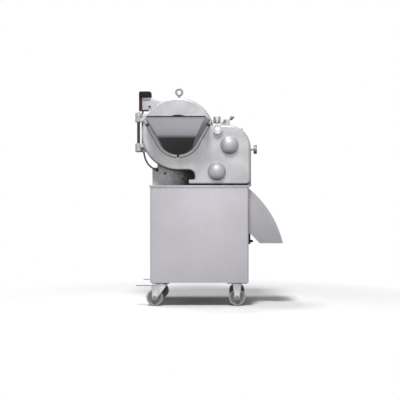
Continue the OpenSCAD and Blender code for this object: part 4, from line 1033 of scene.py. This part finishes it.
class DICER_OT_lip(bpy.types.Operator):
    """Black strip clipped over the lip of the hopper's front plate, as painted shade on the underside of the lip's
    edge
    """

    bl_idname = "dicer.lip"
    bl_label = "Hopper lip"

    def execute(self, context):
        front, top = low("feed_hopper").y, high("feed_hopper").z
        rim = [v.co.x for v in frame["nodes"]["feed_hopper"].data.vertices
               if v.co.y < front + LIP_ROOM and v.co.z > top - LIP_ROOM]
        left, right = min(rim), max(rim)
        strip = block("lip_strip", (right - left, STRIP_DEPTH, STRIP_HEIGHT),
                      ((left + right) / 2, front + STRIP_BEHIND_LIP, top - STRIP_BELOW_LIP))
        stepped(strip, facing(-UP), *STRIP_GROOVE)
        rounded(strip, width=0.0016)
        settle(strip, "door", "black_rubber")
        return {"FINISHED"}


# Screws: a head's height, the share of its radius outside the socket and the socket's wall
SCREW_HEIGHT = 0.006
SOCKET_LAND = 0.45
SOCKET_WALL = (0.0001, -0.004)
# Places in the front view, on the switch bracket and on the pedestal
BRACKET_SCREW = (-0.3635, 1.210)
PEDESTAL_SCREWS = ((-0.2735, 0.805), (-0.100, 0.768))
# Rear panel: distance from its sides and foot, number on a side and their step
PANEL_SIDE = 0.018
PANEL_FOOT = 0.03
PANEL_COUNT = 4
PANEL_STEP = 0.172
# Belt guard: distance from its middle, and heights
GUARD_SIDE = 0.138
GUARD_LEVELS = (0.76, 0.88, 1.0)
# Gear case cover: distance from the drum axis, and directions in degrees
COVER_RADIUS = 0.207
COVER_TURNS = (60, 90, 120, 150, 180, 210)


class DICER_OT_screws(bpy.types.Operator):
    """Socket head screws"""

    bl_idname = "dicer.screws"
    bl_label = "Screws"

    def execute(self, context):
        rear = spread(self.screw(1), self.rear_places())
        settle(joined(rear, "socket_screws"), "machine", "zinc_steel")
        front = spread(self.screw(-1), self.front_places())
        settle(joined(front, "front_screws"), "machine", "zinc_steel", look="dark_steel")
        return {"FINISHED"}

    def front_places(self):
        """On the switch bracket and on the pedestal."""
        places = [(x, low("pedestal").y, z) for x, z in PEDESTAL_SCREWS]
        x, z = BRACKET_SCREW
        return [(x, low("switch_bracket").y, z), *places]

    def rear_places(self):
        """Up both sides of the rear panel and of the belt guard, and round the gear case cover."""
        panel, guard, cover = (high(node).y for node in ("rear_panel", "belt_guard", "gear_case_cover"))
        places = []
        for x in (low("rear_panel").x + PANEL_SIDE, high("rear_panel").x - PANEL_SIDE):
            for k in range(PANEL_COUNT):
                places.append((x, panel, low("rear_panel").z + PANEL_FOOT + k * PANEL_STEP))
        guard_x = middle("belt_guard").x
        for x in (guard_x - GUARD_SIDE, guard_x + GUARD_SIDE):
            places += [(x, guard, z) for z in GUARD_LEVELS]
        drum_z = joint("impeller_spin")["pos_m"][2]
        for angle in COVER_TURNS:
            turn = math.radians(angle)
            places.append((guard_x + COVER_RADIUS * math.cos(turn), cover,
                           drum_z + COVER_RADIUS * math.sin(turn)))
        return places

    def screw(self, side):
        """A screw head with a hexagon socket, to the front or back of the origin."""
        radius = sizes().screw_radius
        head = along_y("screw", 24, radius, 0, side * SCREW_HEIGHT)
        stepped(head, facing(side * BACK), (radius * SOCKET_LAND, 0.0), SOCKET_WALL)
        rounded(head, width=0.0006, segments=2, angle=40.0)
        return head


# Switch clip: how far its ends stand in from the bracket and the cap, its sizes and its two grooves,
# which are given by their edges below the top of the clip
CLIP_LEFT = 0.002
CLIP_RIGHT = 0.004
CLIP_GAP = 0.0004
CLIP_DEPTH = 0.003
CLIP_HEIGHT = 0.017
CLIP_GROOVES = ((0.004, 0.0065), (0.0105, 0.013))


class DICER_OT_clip(bpy.types.Operator):
    """Grey clip with two grooves that holds the switch cap on its bracket"""

    bl_idname = "dicer.clip"
    bl_label = "Switch clip"

    def execute(self, context):
        front = low("switch_bracket").y
        left, right = low("switch_bracket").x + CLIP_LEFT, high("switch_cap").x - CLIP_RIGHT
        top = low("switch_cap").z - CLIP_GAP
        clip = block("cap_clip", (right - left, CLIP_DEPTH, CLIP_HEIGHT),
                     ((left + right) / 2, front - CLIP_DEPTH / 2, top - CLIP_HEIGHT / 2))
        opened(clip)
        for groove in CLIP_GROOVES:
            for level in groove:
                bpy.ops.mesh.select_all(action="SELECT")
                bpy.ops.mesh.bisect(plane_co=(0, 0, top - level), plane_no=UP)
        close()
        pick(clip, lambda at, normal: normal.dot(FRONT) > LOOKING and any(
            upper < top - at.z < lower for upper, lower in CLIP_GROOVES))
        bpy.ops.mesh.inset(thickness=0.0003, depth=-0.0012, use_individual=True)
        close()
        rounded(clip, width=0.0005, segments=2, angle=35.0)
        settle(clip, "machine", "sheet_steel", look="dull_steel")
        return {"FINISHED"}


# Chute latch: sizes of its plate and knob, and their middles from the cabinet's side and the chute's foot
LATCH_PLATE = (0.012, 0.04, 0.066)
LATCH_RECESS = ((0.006, 0.0), (0.001, -0.003))
LATCH_BEHIND_FRONT = 0.03
LATCH_PLATE_LIFT = 0.027
LATCH_KNOB_RADIUS = 0.008
LATCH_KNOB_LENGTH = 0.016
LATCH_KNOB_OUT = 0.017
LATCH_KNOB_LIFT = 0.012
LATCH_KNOB_CROWN = (0.002, 0.003)


class DICER_OT_latch(bpy.types.Operator):
    """Black latch with a small knob that holds the chute to the cabinet"""

    bl_idname = "dicer.latch"
    bl_label = "Chute latch"

    def execute(self, context):
        side = high("cabinet_wrap").x
        y = low("discharge_chute").y + LATCH_BEHIND_FRONT
        foot = low("discharge_chute").z
        plate = block("latch_plate", LATCH_PLATE, (side + LATCH_PLATE[0] / 2, y, foot + LATCH_PLATE_LIFT))
        stepped(plate, facing(RIGHT), *LATCH_RECESS)
        rounded(plate, width=0.0015)
        knob = start(bpy.ops.mesh.primitive_cylinder_add, "latch_knob", vertices=32, radius=LATCH_KNOB_RADIUS,
                     depth=LATCH_KNOB_LENGTH, location=(side + LATCH_KNOB_OUT, y, foot + LATCH_KNOB_LIFT),
                     rotation=(0, math.pi / 2, 0))
        stepped(knob, facing(RIGHT), LATCH_KNOB_CROWN)
        rounded(knob, width=0.0012)
        settle(joined([plate, knob], "chute_latch"), "machine", "black_plastic")
        return {"FINISHED"}


class DICER_PT_panel(bpy.types.Panel):
    """Steps of the looks"""

    bl_label = "Dicer"
    bl_idname = "DICER_PT_panel"
    bl_space_type = "VIEW_3D"
    bl_region_type = "UI"
    bl_category = "Dicer"

    def draw(self, context):
        for step in STEPS:
            self.layout.operator(step.bl_idname)


STEPS = (DICER_OT_stage, DICER_OT_finishes, DICER_OT_cable, DICER_OT_edges, DICER_OT_wheels, DICER_OT_axles,
         DICER_OT_knobs, DICER_OT_bolts, DICER_OT_flange_shade, DICER_OT_lip, DICER_OT_screws, DICER_OT_clip,
         DICER_OT_latch)
CLASSES = (DicerSizes, DicerFinishes, *STEPS, DICER_PT_panel)


def register():
    for entry in CLASSES:
        bpy.utils.register_class(entry)
    bpy.types.Scene.dicer_sizes = bpy.props.PointerProperty(type=DicerSizes)
    bpy.types.Scene.dicer_finishes = bpy.props.PointerProperty(type=DicerFinishes)


def unregister():
    del bpy.types.Scene.dicer_finishes
    del bpy.types.Scene.dicer_sizes
    for entry in reversed(CLASSES):
        bpy.utils.unregister_class(entry)


def main():
    register()
    for step in STEPS:
        group, name = step.bl_idname.split(".")
        getattr(getattr(bpy.ops, group), name)()


if __name__ == "__main__":
    main()
